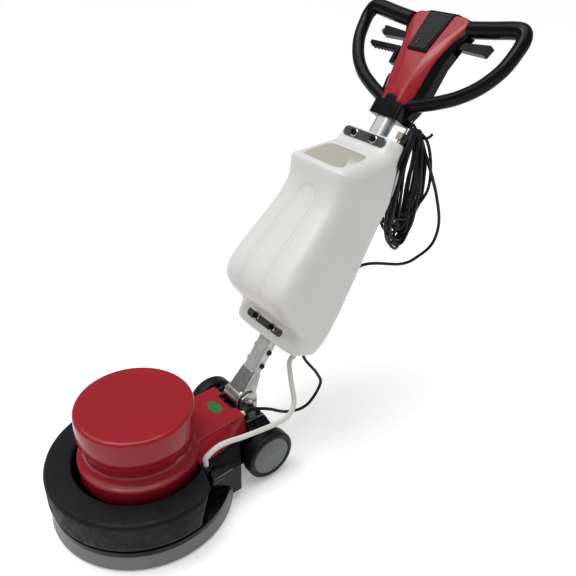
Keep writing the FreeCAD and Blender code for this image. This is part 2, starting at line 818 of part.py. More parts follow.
def three_lobes(core, lobe, low, high):
    middle = rod(core, high - low, (0, 0, low))
    lobes = [rod(lobe, high - low, (x, y, low)) for x, y in HUB_LOBES]
    return fuse(middle, *lobes)


def drive_hub():
    hub = three_lobes(44, 13, 34, 52)
    keep("drive_hub", cut(hub, rod(dim.output_radius, 30, (0, 0, 40)), rod(12, 30, (0, 0, 30))))


def pad_driver():
    """Round plate with a collar whose three-lobed socket takes the drive hub."""
    low = dim.pad_thickness + 0.2
    plate = rod(dim.driver_radius, 12, (0, 0, low))
    collar = rod(66, 8, (0, 0, low + 12))
    socket = three_lobes(45, 14, low, low + 20)
    keep("pad_driver", cut(fuse(plate, collar), socket))


def floor_pad():
    """Fibre pad held by the short bristles of the driver plate."""
    edge = 3
    keep("floor_pad", lathe([
        (0, 0), (dim.pad_radius - edge, 0), (dim.pad_radius, edge),
        (dim.pad_radius, dim.pad_thickness - edge),
        (dim.pad_radius - edge, dim.pad_thickness), (0, dim.pad_thickness),
    ]))


# ---------------------------------------------------------------- wheels

def wheel_profile(points, side):
    """A (radius, distance from the middle) profile turned about the axle."""
    turn = ALONG_X if side > 0 else AGAINST_X
    return lathe(points), turn, (0, dim.wheel_back, dim.wheel_up)


def wheels():
    inner, outer = dim.wheel_inner, dim.wheel_outer
    rim, radius = dim.rim_radius, dim.wheel_radius
    tyre = [
        (rim, inner + 1), (radius - 6, inner), (radius - 1.5, inner + 3), (radius, inner + 9),
        (radius, outer - 10), (radius - 1.5, outer - 4), (radius - 5, outer - 1),
        (rim + 3, outer), (rim, outer - 2),
    ]
    bore = dim.axle_radius + dim.running
    hub = [
        (bore, inner + 2), (24, inner + 2), (28, inner + 9), (rim - 8, inner + 9),
        (rim - 4, inner + 2), (rim, inner + 2), (rim, outer - 2.5), (rim - 1, outer - 1.5),
        (0, outer - 1.5), (0, outer - 5), (bore, outer - 5),
    ]
    for side, name in ((1, "left"), (-1, "right")):
        for node, points in (("tyre", tyre), ("hub", hub)):
            turned, turn, at = wheel_profile(points, side)
            keep(f"wheel_{name}_{node}", turned, turn, at)
    reach = outer - 6
    keep("wheel_axle", rod(dim.axle_radius, reach * 2, (-reach, dim.wheel_back, dim.wheel_up),
                           ALONG_X))


# ---------------------------------------------------------------- handle joint

LOCK_TILTS = (0, 17.5, value(dim.tilt), 55, value(dim.tilt) + 40)
NOTCH_DEPTH = 3.6
PAWL_REST = 23.6
SOCKET_BOLTS = (99, 138)


def pivot_bracket():
    """Foot plate with two ears that carry the tilt pin."""
    low, top = dim.block_top, dim.pivot_up + 25
    front, rear = 265, dim.tail_rear - 3
    foot = block((-67, front, low), (67, rear, low + 5))
    ears = []
    for side in (1, -1):
        inner, outer = sorted((side * dim.ear_inner, side * dim.ear_outer), key=value)
        outline = [(front, low + 5), (rear, low + 5), (rear, top - 12), (rear - 14, top),
                   (dim.pivot_back + 4, top), (dim.pivot_back - 18, top - 8), (front, dim.pivot_up)]
        ears.append(prism(outline, inner, outer, "YZ_Plane"))
    pin_hole = rod(dim.pin_radius, 100, (-50, dim.pivot_back, dim.pivot_up), ALONG_X)
    bolt_holes = [rod(4.5, 10, (x, y, low - 1)) for x, y in BRACKET_BOLTS]
    keep("pivot_bracket", cut(fuse(foot, *ears), pin_hole, *bolt_holes))


def bracket_bolts():
    bolts = []
    for x, y in BRACKET_BOLTS:
        shank = rod(4, 22, (x, y, dim.block_top - 16))
        head = rod(6.5, 6, (x, y, dim.block_top + 5))
        socket = hex_bar(5, 4, (x, y, dim.block_top + 8))
        bolts.append(cut(fuse(shank, head), socket))
    keep("bracket_bolts", group(*bolts))


def pivot_pin():
    reach = dim.ear_outer
    at = (dim.pivot_back, dim.pivot_up)
    pin = rod(dim.pin_radius, reach * 2 + 10, (-5 - reach, *at), ALONG_X)
    head = hex_bar(19, 6, (reach + 0.2, *at), ALONG_X)
    nut = hex_bar(19, 6, (-6.2 - reach, *at), ALONG_X)
    keep("pivot_pin", fuse(pin, head, nut))


def lock_sector():
    """Notched quadrant on the pivot pin; the lock rod drops into its notches."""
    disc = rod(dim.sector_radius, 9, (-4.5, dim.pivot_back, dim.pivot_up), ALONG_X)
    foot = block((-4.5, dim.pivot_back - 13, dim.block_top + 5),
                 (4.5, dim.pivot_back + 13, dim.pivot_up))
    pivot = Vector(0, value(dim.pivot_back), value(dim.pivot_up))
    notch_floor = value(dim.sector_radius) - NOTCH_DEPTH
    notches = [
        turned_block(Vector(-6, -2.5, notch_floor), (12, 5, 10), Rotation(-X, tilt), pivot)
        for tilt in LOCK_TILTS
    ]
    pin_hole = rod(dim.pin_radius, 20, (-10, dim.pivot_back, dim.pivot_up), ALONG_X)
    keep("lock_sector", cut(fuse(disc, foot), *notches, pin_hole))


def socket_neck():
    """Cast neck that narrows from the round foot to the size of the tube.

    Each level: height, half width, half depth, and place of its middle front to back.
    """
    levels = (
        (2, value(dim.barrel_half), 30, 0),
        (34, 28, 25, -2),
        (value(dim.tube_start), value(dim.tube_width) / 2, value(dim.tube_depth) / 2,
         -value(dim.tube_front)),
    )
    wires = []
    for height, half, deep, middle in levels:
        corners = [(half, deep), (-half, deep), (-half, -deep), (half, -deep)]
        points = [Vector(x, middle + y, height) for x, y in corners]
        wires.append(Part.makePolygon(points + points[:1]))
    return soften(shaped(Part.makeLoft(wires, True, True), "Neck"), 9,
                  lambda edge: abs(edge.BoundBox.ZLength) > 25)


def handle_socket():
    barrel = rod(dim.barrel_radius, dim.barrel_half * 2, (-dim.barrel_half, 0, 0), ALONG_X)
    barrel = soften(barrel, 3, lambda edge: isinstance(edge.Curve, Part.Circle))
    inset = dim.tube_wall + 0.1
    insert = rounded_bar(dim.tube_width - inset * 2, dim.tube_depth - inset * 2,
                         dim.tube_corner - inset, dim.tube_start - 1, 165)
    slot = rod(dim.sector_radius + 1.2, 13, (-6.5, 0, 0), ALONG_X)
    # room for the sector's foot at every tilt, from straight down to the rear
    sweep = rod(45, 13, (0, 0, 0), UPRIGHT, 148)
    sweep.Placement = Placement(Vector(-6.5, 0, 0), Rotation(Y, 90).multiply(Rotation(Z, -36)))
    pin_hole = rod(dim.pin_radius + dim.running, 80, (-40, 0, 0), ALONG_X)
    pawl_way = rod(5.2, 180, ORIGIN)
    cross = [rod(4.2, 80, (-40, forward(0), height), ALONG_X) for height in SOCKET_BOLTS]
    keep_on_handle("handle_socket", cut(fuse(barrel, socket_neck(), insert), slot, sweep,
                                        pin_hole, pawl_way, *cross))


def socket_bolts():
    bolts = []
    for height in SOCKET_BOLTS:
        half = dim.tube_width * 0.5
        for side in (1, -1):
            turn = ALONG_X if side > 0 else AGAINST_X
            shank = rod(4, 16, (side * (half - 14), forward(0), height), turn)
            head = rod(7, 4.5, (side * half, forward(0), height), turn)
            socket = hex_bar(5, 3, (side * (half + 2.5), forward(0), height), turn)
            bolts.append(cut(fuse(shank, head), socket))
    keep_on_handle("socket_bolts", group(*bolts))


def handle_tube():
    outer = rounded_bar(dim.tube_width, dim.tube_depth, dim.tube_corner,
                        dim.tube_start, dim.tube_end)
    inner = rounded_bar(dim.tube_width - dim.tube_wall * 2, dim.tube_depth - dim.tube_wall * 2,
                        dim.tube_corner - dim.tube_wall, dim.tube_start - 5, dim.tube_end + 5)
    cross = [rod(4.2, 80, (-40, forward(0), height), ALONG_X) for height in SOCKET_BOLTS]
    keep_on_handle("handle_tube", cut(outer, inner, *cross))


def lock_rod():
    """Pawl, rod and clevis: slides in the tube and locks the tilt."""
    tip = block((-4.2, -2.2, PAWL_REST), (4.2, 2.2, PAWL_REST + 12))
    pawl = rod(5.1, 38, (0, 0, PAWL_REST + 8))
    long_rod = rod(3, dim.release_height - 12 - 60, (0, 0, 60))
    base = block((-7, -8, dim.release_height - 14), (7, 8, dim.release_height - 9))
    cheeks = [block((-7, y, dim.release_height - 10), (7, y + 4, dim.release_height + 6))
              for y in (-8, 4)]
    cross = rod(3, 15, (0, -7.5, dim.release_height), ALONG_Y)
    keep_on_handle("lock_rod", fuse(tip, pawl, long_rod, base, *cheeks, cross))


# ---------------------------------------------------------------- tank

STRAPS = (dim.strap_low, dim.strap_high)
SPOUT = (62, 47)


def tank_side():
    """Side outline of the tank: (ahead of the tube axis, height along the tube)."""
    return [
        (20, 173), (40, 173), (40, 226), (58, 229), (88, 237), (112, 251), (133, 268),
        (144, 290), (146, 305), (140, 347), (132, 400), (125, 450), (117, 500), (113, 540),
        (120, 575), (133, 600), (124, 617), (65, 677), (45, 698), (40, 708), (40, 743),
        (10, 743), (-36, 733), (-50, 560), (-60, 400), (-62, 230), (-56, 180), (-46, 173),
    ]


def tank_front():
    """Front outline of the tank: (half width, height along the tube)."""
    return mirrored([(112, 173), (124, 183), (126, 210), (126, 260), (107, 600), (98, 735),
                     (90, 743)])


def tank_form(inset):
    """Where the side outline and the front outline of the tank meet, in solid form."""
    side = [Vector(-150, value(forward(depth)), height) for depth, height in tank_side()]
    front = [Vector(x, -200, height) for x, height in tank_front()]
    faces = []
    for outline in (side, front):
        face = Part.Face(Part.makePolygon(outline + outline[:1]))
        faces.append(face.makeOffset2D(-inset) if inset else face)
    return faces[0].extrude(Vector(300, 0, 0)).common(faces[1].extrude(Vector(0, 400, 0)))


def tank_shell():
    wall = value(dim.tank_wall)
    outer = soften(shaped(tank_form(0), "TankForm"), 6,
                   lambda edge: edge.BoundBox.XLength > 60 and edge.BoundBox.YLength < 1)
    inner = shaped(tank_form(wall), "TankRoom")
    channel = block((-27.5, forward(18), dim.tank_foot - 5), (27.5, 90, dim.tank_head + 5))
    keep_out = block((-27.5 - wall, forward(18 + wall), dim.tank_foot - 5),
                     (27.5 + wall, 90, dim.tank_head + 5))
    bosses = []
    notches = []
    holes = []
    for height in STRAPS:
        bosses.append(block((-45, forward(44), height - 24), (45, 90, height + 20)))
        notches.append(block((-41, forward(18), height - 20), (41, 90, height + 20)))
        for side in (1, -1):
            holes.append(rod(4.3, 60, (dim.strap_bolt * side, forward(60), height), ALONG_Y))
    room = cut(inner, keep_out, *bosses)
    mouth = prism([(forward(112), 602), (forward(67), 650), (forward(97), 690),
                   (forward(150), 640)], -60, 60, "YZ_Plane")
    rod_hole = rod(4, 40, (dim.valve_side, forward(-dim.valve_rear), 710))
    spout = rod(7, 25, (SPOUT[0], forward(-SPOUT[1]), 155))
    spout_hole = rod(4.5, 40, (SPOUT[0], forward(-SPOUT[1]), 150))
    shell = cut(fuse(outer, spout), room, channel, mouth, rod_hole, spout_hole,
                *notches, *holes)
    keep_on_handle("tank_shell", shell)


def tank_straps():
    """Front straps and rear clamp bars that hold the tank to the tube."""
    bars = []
    for height in STRAPS:
        front = block((-dim.strap_half, forward(44), height - 12),
                      (dim.strap_half, forward(40), height + 12))
        front = soften(front, 11, runs_along(Y))
        rear = block((-40, forward(-17), height - 12), (40, forward(-22), height + 12))
        holes = [rod(4.2, 90, (side * dim.strap_bolt, forward(60), height), ALONG_Y)
                 for side in (1, -1)]
        bars += [cut(front, *holes), cut(rear, *holes)]
    keep_on_handle("tank_straps", group(*bars))


def strap_bolts():
    bolts = []
    for height in STRAPS:
        for side in (1, -1):
            x = dim.strap_bolt * side
            shank = rod(4, 74, (x, forward(44), height), ALONG_Y)
            head = rod(8, 7, (x, forward(51), height), ALONG_Y)
            socket = hex_bar(6, 4, (x, forward(51), height), ALONG_Y)
            nut = hex_bar(13, 6, (x, forward(-22), height), ALONG_Y)
            bolts.append(cut(fuse(shank, head, nut), socket))
    keep_on_handle("strap_bolts", group(*bolts))


def valve_gland():
    """Hexagon gland on a stub, screwed to the tank's lobe; guides the valve rod."""
    at = (dim.valve_side, forward(-dim.valve_rear))
    stub = rod(8, 26, (*at, 738))
    nut = hex_bar(30, 18, (*at, 758))
    keep_on_handle("valve_gland", cut(fuse(stub, nut), rod(2.55, 60, (*at, 730))))


def valve_rod():
    at = (dim.valve_side, forward(-dim.valve_rear))
    long_rod = rod(dim.rod_radius, dim.lever_height - 5 - 196, (*at, 196))
    plug = cone(4, 6, 8, (*at, 190))
    keep_on_handle("valve_rod", fuse(long_rod, plug))


# ---------------------------------------------------------------- head

HEAD_REAR, HEAD_SPLIT, HEAD_FRONT = -35, -6, 22
NECK_TOP = 832
SLOPE_START = 964


def head_outline(inset=0):
    """Half outline of the black housing: it widens towards the grips."""
    return mirrored([
        (46 - inset, dim.neck_low + inset), (62 - inset, NECK_TOP + 1), (72 - inset, 890),
        (72 - inset, 956), (82 - inset, 1002), (99 - inset, 1038), (99 - inset, 1062 - inset),
        (84 - inset, 1072 - inset), (42, 1082 - inset),
    ])


def head_envelope():
    """The head housing as a solid, with its neck."""
    shell = prism(head_outline(), forward(HEAD_SPLIT), forward(HEAD_REAR), "XZ_Plane")
    neck = block((-46, forward(23), dim.neck_low), (46, forward(-28), NECK_TOP))
    tongue = block((-17.5, forward(23), NECK_TOP), (17.5, forward(-28), NECK_TOP + 14))
    return fuse(shell, soften(neck, 6, runs_along(Z)), tongue)


def head_housing():
    """Black housing with its lever pins, a lug and the hook for the power cord."""
    wall = 4
    room = prism(mirrored([
        (54, NECK_TOP + 3), (68, 890), (68, 956), (78, 1002), (95, 1040), (95, 1058),
        (80, 1068), (42, 1078)]), forward(HEAD_SPLIT + 1), forward(HEAD_REAR + wall), "XZ_Plane")
    bore = rounded_bar(dim.tube_width, dim.tube_depth, dim.tube_corner,
                       dim.neck_low - 5, NECK_TOP + 20)
    y_low, y_high = 3.2, forward(HEAD_REAR + wall)
    slots = [block((low, y_low, 990), (low + 32, y_high, 1036)) for low in (68, -100)]
    pins = [rod(3, 27, (side * dim.lever_pivot, 2, dim.lever_height), ALONG_Y)
            for side in (1, -1)]
    release_pin = rod(3, 34, (dim.release_pivot, -6, dim.release_height), ALONG_Y)
    lug = block((44, 16, 794), (60, 27, 808))
    rod_hole = rod(dim.rod_radius + dim.running, 60,
                   (dim.valve_side, forward(-dim.valve_rear), 780))
    hook = shaped(tube_along([(46, 24, 806), (62, 32, 804), (77, 38, 791), (92, 39, 787),
                              (106, 39, 790), (114, 39, 804)], 3.5), "Hook")
    shell = cut(fuse(head_envelope(), lug, hook), room, bore, *slots, release_slot(), rod_hole)
    whole = fuse(shell, *pins, release_pin)
    whole.Refine = False
    keep_on_handle("head_housing", whole)


def cover_outline(inset=0):
    return mirrored([
        (18, NECK_TOP + 1 - inset), (45 - inset, NECK_TOP + 1 - inset), (58 - inset, 890),
        (63 - inset, 956), (76 - inset, 1005), (89 - inset, 1045), (87 - inset, 1063 - inset),
        (70 - inset, 1076 - inset), (42, 1080 - inset),
    ])


def cover_envelope():
    return prism(cover_outline(), forward(HEAD_FRONT), forward(HEAD_SPLIT), "XZ_Plane")


def release_slot():
    """Opening in the head's right side for the tilt lever."""
    return block((-76, -6, 905), (-54, 6, 948))


def slope_at(height):
    """How far ahead of the tube axis the cover stands where it slopes to the grips."""
    return HEAD_FRONT - (height - SLOPE_START) * 23 / 116


def head_cover():
    wall = 3.5
    slope = prism([(forward(slope_at(950)), 950), (forward(slope_at(1100)), 1100),
                   (forward(slope_at(950)), 1100)], -120, 120, "YZ_Plane")
    room_form = prism(cover_outline(wall), forward(HEAD_FRONT - wall), forward(HEAD_SPLIT),
                      "XZ_Plane")
    under_slope = prism([
        (forward(slope_at(940) - wall), 940), (forward(slope_at(1100) - wall), 1100),
        (forward(slope_at(940)), 1100)], -120, 120, "YZ_Plane")
    notch = block((-18, forward(30), NECK_TOP), (18, forward(-10), NECK_TOP + 14.5))
    room = cut(room_form, under_slope)
    keep_on_handle("head_cover", cut(cover_envelope(), slope, room, notch, release_slot()))


def control_panel():
    """Tapering raised panel on the sloping face of the cover."""
    plan = prism(mirrored([(30, 964), (40, 1079)]), forward(40), forward(-20), "XZ_Plane")
    side = prism([
        (forward(slope_at(960) + 0.3), 960), (forward(slope_at(960) + 6), 960),
        (forward(slope_at(1090) + 6), 1090), (forward(slope_at(1090) + 0.3), 1090),
    ], -60, 60, "YZ_Plane")
    keep_on_handle("control_panel", common(plan, side))


def handle_loop():
    """Grip bars and the D-shaped loop that joins their ends to the neck."""
    pieces = []
    depth = value(forward(-8))
    for side in (1, -1):
        root = (side * 98, value(forward(-13.5)), value(dim.grip_height))
        end = (side * value(dim.grip_reach), value(forward(-6)),
               value(dim.grip_height) + value(dim.grip_rise))
        pieces.append(shaped(tube_along([root, end], dim.grip_radius), "Grip"))
        pieces.append(solid("Sphere", end, Radius=dim.grip_radius))
        bend = [(234, 1070), (240, 1030), (228, 975), (198, 928), (155, 891), (108, 866),
                (66, 848), (38, 836)]
        pieces.append(shaped(tube_along([(side * x, depth, height) for x, height in bend],
                                        dim.loop_radius), "Loop"))
    rod_room = rod(dim.rod_radius + 1, 120,
                   (dim.valve_side, forward(-dim.valve_rear), 780))
    neck_room = block((-46.2, forward(40), 780), (46.2, 40, 880))
    keep_on_handle("handle_loop", cut(fuse(*pieces), head_envelope(), cover_envelope(),
                                      rod_room, neck_room))


def paddle(side):
    """Trigger blade under a grip bar with its round pivot boss."""
    low, high = 4.5, 23.8
    blade = prism([(side * 84, 1002), (side * 160, 1000), (side * 168, 1026),
                   (side * 84, 1019)], low, high, "XZ_Plane")
    blade = soften(blade, 2, runs_along(Y))
    boss = rod(7, high - low, (side * dim.lever_pivot, low, dim.lever_height), ALONG_Y)
    web = block((76 if side > 0 else -86, low, 1008), (86 if side > 0 else -76, high, 1018))
    return fuse(blade, boss, web), rod(3 + dim.running, 40,
                                       (side * dim.lever_pivot, 0, dim.lever_height), ALONG_Y)


def triggers():
    right, right_bore = paddle(-1)
    button_bore = rod(7.1, 30, (-174, 14, 1013), ALONG_X)
    keep_on_handle("motor_trigger", cut(right, right_bore, button_bore))
    button = fuse(rod(7, 18, (-172, 14, 1013), ALONG_X),
                  cone(6, 7, 2, (-174, 14, 1013), ALONG_X))
    keep_on_handle("safety_button", button)
    left, left_bore = paddle(1)
    arm = block((48, 4.5, 1010), (74, 23.8, 1017))
    keep_on_handle("water_trigger", cut(fuse(left, arm), left_bore))


def tilt_lever():
    """L-shaped lever: a flat arm over the lock rod and a ribbed finger bar outside."""
    height = dim.release_height
    arm = block((-82, -3.5, height - 6), (dim.release_pivot, 3.5, height + 6))
    boss = rod(9, 7, (dim.release_pivot, -3.5, height), ALONG_Y)
    riser = block((-88, -3.5, height - 6), (-77, 14, 978))
    finger = block((-180, -3.5, 968), (-77, 16, 978))
    ribs = [rod(4, 19.5, (-170 + 12 * number, -3.5, 967), ALONG_Y) for number in range(7)]
    bore = rod(3 + dim.running, 20, (dim.release_pivot, -10, height), ALONG_Y)
    rod_eye = rod(3.6, 20, (0, -10, height), ALONG_Y)
    keep_on_handle("tilt_lever", cut(fuse(arm, boss, riser, finger, *ribs), bore, rod_eye))


def motor_switch():
    """Switch box beside the motor trigger, with the plunger that the trigger presses."""
    case = block((-58, 6, 1024), (-30, 22, 1050))
    plunger = rod(2, 3, (-50, 14, 1021.5))
    keep_on_handle("motor_switch", fuse(case, plunger))


# ---------------------------------------------------------------- hoses and cables

def on_handle(x, ahead, height):
    """Machine coordinates of a point given ahead of the tube axis and along the tube."""
    lean = Rotation(-X, value(dim.tilt))
    pivot = Vector(0, value(dim.pivot_back), value(dim.pivot_up))
    return pivot + lean.multVec(Vector(x, value(forward(ahead)), height))


def hose_grommet():
    """Elbow boss that takes the water through the deck."""
    at = HOSE_PLACE
    boss = fuse(rod(12, 22, (*at, 110.5)), rod(14, 5, (*at, 126)))
    keep("hose_grommet", cut(boss, rod(4, 40, (*at, 105))))


def solution_hose():
    path = [
        on_handle(SPOUT[0], -SPOUT[1], 153),
        on_handle(SPOUT[0], -SPOUT[1], 138),
        Vector(78, 397, 221), Vector(104, 388, 166), Vector(120, 352, 149),
        Vector(126, 312, 154), Vector(128, 272, 160), Vector(126, 217, 166),
        Vector(121, 152, 172), Vector(*HOSE_PLACE, 158), Vector(*HOSE_PLACE, 142),
        Vector(*HOSE_PLACE, 134),
    ]
    keep("solution_hose", shaped(tube_along(path, 7), "Hose"))


GLAND_PLACE = (50, 256.2, 159)


def cable_gland():
    """Gland where the motor cable enters the rear of the tail cover."""
    x, y, z = GLAND_PLACE
    gland = fuse(hex_bar(17, 5, GLAND_PLACE, ALONG_Y), rod(7, 12, GLAND_PLACE, ALONG_Y))
    keep("cable_gland", cut(gland, rod(4.6, 20, (x, y - 4, z), ALONG_Y)))


def motor_cable():
    """Cable from the head down behind the tank to the motor."""
    path = [
        on_handle(20, -42, 812), on_handle(62, -66, 790), on_handle(104, -68, 760),
        Vector(120, 790, 715), Vector(122, 826, 640), Vector(121, 853, 560),
        Vector(116, 846, 500), Vector(105, 810, 468), Vector(90, 760, 452),
        on_handle(78, -90, 440), on_handle(70, -75, 330), on_handle(68, -75, 240),
        on_handle(64, -76, 172), Vector(62, 500, 187), Vector(62, 516, 143),
        Vector(60, 486, 96), Vector(60, 448, 86), Vector(60, 395, 104), Vector(60, 346, 138),
        Vector(56, 316, 153), Vector(51, 292, 159), Vector(50, 269, 159),
    ]
    keep("motor_cable", shaped(tube_along(path, 4.5), "Cable"))


def power_cord():
    """Hanging coil of power cord, as one closed loop."""
    middle = Vector(92, 776, 680)
    path = Part.BSplineCurve()
    turn = [2 * math.pi * step / 12 for step in range(12)]
    points = [middle + Vector(8 * math.cos(a), 30 * math.cos(a), 140 * math.sin(a))
              for a in turn]
    path.interpolate(points, PeriodicFlag=True)
    heading = path.tangent(path.FirstParameter)[0]
    section = Part.Wire([Part.Circle(points[0], heading, 10).toShape()])
    coil = Part.Wire([path.toShape()]).makePipeShell([section], True, False)
    keep("power_cord", shaped(coil, "Coil"))


# ---------------------------------------------------------------- build and write

BUILDERS = [
    deck_housing, splash_skirt, weight_ring, motor_cover, tail_cover, cover_badge,
    gearbox_housing, gearbox_cover, ring_gear, sun_gear, planet_gears, planet_carrier,
    bearings, motor_housing, motor_stator, stator_windings, motor_end_bell, rotor,
    cooling_fan, motor_bolts, capacitors, drive_hub, pad_driver, floor_pad, wheels,
    pivot_bracket, bracket_bolts, pivot_pin, lock_sector, handle_socket, socket_bolts,
    handle_tube, lock_rod, tank_shell, tank_straps, strap_bolts, valve_gland, valve_rod,
    head_housing, head_cover, control_panel, handle_loop, triggers, tilt_lever,
    motor_switch, hose_grommet, solution_hose, cable_gland, motor_cable, power_cord,
]


def check():
    """Stop on any object that failed and on any sub-part without a sound shape."""
    doc.recompute()
    failed = [thing.Label for thing in doc.Objects
              if {"Invalid", "Error"} & set(thing.State)]
    if failed:
        raise SystemExit(f"failed objects: {failed}")
    bad = [node for node, thing in parts.items()
           if thing.Shape.isNull() or not thing.Shape.isValid()
           or not thing.Shape.Solids or thing.Shape.Volume <= 0]
    if bad:
        raise SystemExit(f"bad shapes: {bad}")


def write():
    os.makedirs("parts", exist_ok=True)
    for node, thing in parts.items():
        thing.Shape.exportStep(f"parts/{node}.step")
        print(f"{node:20s} {len(thing.Shape.Solids):3d} solids {thing.Shape.Volume / 1000:9.1f} cm3")


for build in BUILDERS:
    build()
check()
write()
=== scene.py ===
import json
import math
import random

import bmesh
import bpy
from mathutils import Matrix, Vector
from mathutils.bvhtree import BVHTree


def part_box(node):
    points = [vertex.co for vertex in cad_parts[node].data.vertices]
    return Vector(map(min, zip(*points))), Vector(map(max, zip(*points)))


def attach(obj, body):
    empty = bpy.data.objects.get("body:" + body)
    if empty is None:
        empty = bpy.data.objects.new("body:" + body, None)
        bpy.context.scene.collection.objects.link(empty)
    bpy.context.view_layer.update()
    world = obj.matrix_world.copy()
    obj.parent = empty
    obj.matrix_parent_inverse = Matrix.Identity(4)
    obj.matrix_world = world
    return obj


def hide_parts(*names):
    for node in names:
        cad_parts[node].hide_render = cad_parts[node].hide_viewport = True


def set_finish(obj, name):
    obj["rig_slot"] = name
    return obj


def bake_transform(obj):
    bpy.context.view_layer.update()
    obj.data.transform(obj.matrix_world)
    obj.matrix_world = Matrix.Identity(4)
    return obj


# Rotary floor machine.  Lengths in the tables below are millimetres in the frame of
# the CAD part; handle parts are given as (across, ahead of the tube, along the tube).

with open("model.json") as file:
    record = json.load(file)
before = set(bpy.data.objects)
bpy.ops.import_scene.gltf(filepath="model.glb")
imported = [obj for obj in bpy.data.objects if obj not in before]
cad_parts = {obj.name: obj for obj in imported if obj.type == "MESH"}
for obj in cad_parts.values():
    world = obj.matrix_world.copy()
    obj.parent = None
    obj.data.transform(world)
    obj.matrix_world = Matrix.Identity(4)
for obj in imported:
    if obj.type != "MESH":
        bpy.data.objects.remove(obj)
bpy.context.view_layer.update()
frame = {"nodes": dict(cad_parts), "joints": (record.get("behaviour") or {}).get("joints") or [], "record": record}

joints = {joint["name"]: joint for joint in frame["joints"]}
PIVOT = Vector(joints["handle_tilt"]["pos_m"])
TUBE_UP = Vector(joints["lock_slide"]["axis"]).normalized()
TUBE_FRONT = Vector((1, 0, 0)).cross(TUBE_UP)
TUBE_AHEAD = 5.8
MM = 0.001
TURN = 2 * math.pi
SIDES = ((1, "left"), (-1, "right"))


def point(x, y, z):
    return Vector((x, y, z)) * MM


def on_handle(across, ahead, along):
    """World place of a point given round the handle tube."""
    return (PIVOT + Vector((across * MM, 0, 0)) + TUBE_FRONT * ((TUBE_AHEAD + ahead) * MM)
            + TUBE_UP * (along * MM))


# ---------------------------------------------------------------- materials

class Nodes:
    """Short way to build the node tree of a material."""

    def __init__(self, name):
        self.material = bpy.data.materials.new(name)
        self.material.use_nodes = True
        self.tree = self.material.node_tree
        self.shader = self.tree.nodes["Principled BSDF"]
        self.coords = self.add("ShaderNodeTexCoord").outputs["Object"]

    def add(self, kind, **settings):
        node = self.tree.nodes.new(kind)
        for name, value in settings.items():
            setattr(node, name, value)
        return node

    def link(self, source, target):
        self.tree.links.new(source, target)

    def stretched(self, stretch):
        mapping = self.add("ShaderNodeMapping")
        mapping.inputs["Scale"].default_value = stretch
        self.link(self.coords, mapping.inputs["Vector"])
        return mapping.outputs["Vector"]

    def noise(self, scale, detail=4.0, roughness=0.55, stretch=(1, 1, 1)):
        node = self.add("ShaderNodeTexNoise")
        node.inputs["Scale"].default_value = scale
        node.inputs["Detail"].default_value = detail
        node.inputs["Roughness"].default_value = roughness
        self.link(self.stretched(stretch), node.inputs["Vector"])
        return node.outputs["Fac"]

    def ranged(self, source, low, high, start=0.35, end=0.65):
        node = self.add("ShaderNodeMapRange")
        node.inputs["From Min"].default_value = start
        node.inputs["From Max"].default_value = end
        node.inputs["To Min"].default_value = low
        node.inputs["To Max"].default_value = high
        self.link(source, node.inputs["Value"])
        return node.outputs["Result"]

    def mixed(self, source, first, second):
        node = self.add("ShaderNodeMix", data_type="RGBA")
        self.link(source, node.inputs["Factor"])
        node.inputs["A"].default_value = (*first, 1)
        node.inputs["B"].default_value = (*second, 1)
        return node.outputs["Result"]

    def bump(self, source, strength, distance, below=None):
        node = self.add("ShaderNodeBump")
        node.inputs["Strength"].default_value = strength
        node.inputs["Distance"].default_value = distance
        self.link(source, node.inputs["Height"])
        if below is not None:
            self.link(below, node.inputs["Normal"])
        return node.outputs["Normal"]

    def set(self, **values):
        for name, value in values.items():
            self.shader.inputs[name.replace("_", " ")].default_value = value


def shade(colour, share):
    return tuple(channel * share for channel in colour)


def moulded(name, colour, roughness, grain=700, coat=0.0, mottle=0.12, depth=0.00008,
            shine=0.5):
    """Moulded plastic or rubber: fine grain, faint mottling and uneven sheen."""
    n = Nodes(name)
    cloudy = n.ranged(n.noise(9), 0, 1)
    n.link(n.mixed(cloudy, shade(colour, 1 - mottle), shade(colour, 1 + mottle)),
           n.shader.inputs["Base Color"])
    worn = n.noise(38, detail=6)
    n.link(n.ranged(worn, roughness * 0.8, min(1, roughness * 1.25)),
           n.shader.inputs["Roughness"])
    waves = n.bump(n.noise(24, detail=2), 0.15, 0.0006)
    n.link(n.bump(n.noise(grain, detail=3), 0.5, depth, waves), n.shader.inputs["Normal"])
    n.set(Coat_Weight=coat, Coat_Roughness=0.06, Specular_IOR_Level=shine)
    return n.material


def metal(name, colour, roughness, stretch=(1, 1, 1), grain=500, depth=0.00005, mottle=0.1):
    """Bare or plated metal with a grain that can run along one direction."""
    n = Nodes(name)
    cloudy = n.ranged(n.noise(14, detail=6), 0, 1)
    n.link(n.mixed(cloudy, shade(colour, 1 - mottle), colour), n.shader.inputs["Base Color"])
    fine = n.noise(grain, detail=4, stretch=stretch)
    n.link(n.ranged(fine, roughness * 0.7, min(1, roughness * 1.35)),
           n.shader.inputs["Roughness"])
    dents = n.bump(n.noise(45, detail=3), 0.2, 0.0004)
    n.link(n.bump(fine, 0.4, depth, dents), n.shader.inputs["Normal"])
    n.set(Metallic=1.0)
    return n.material


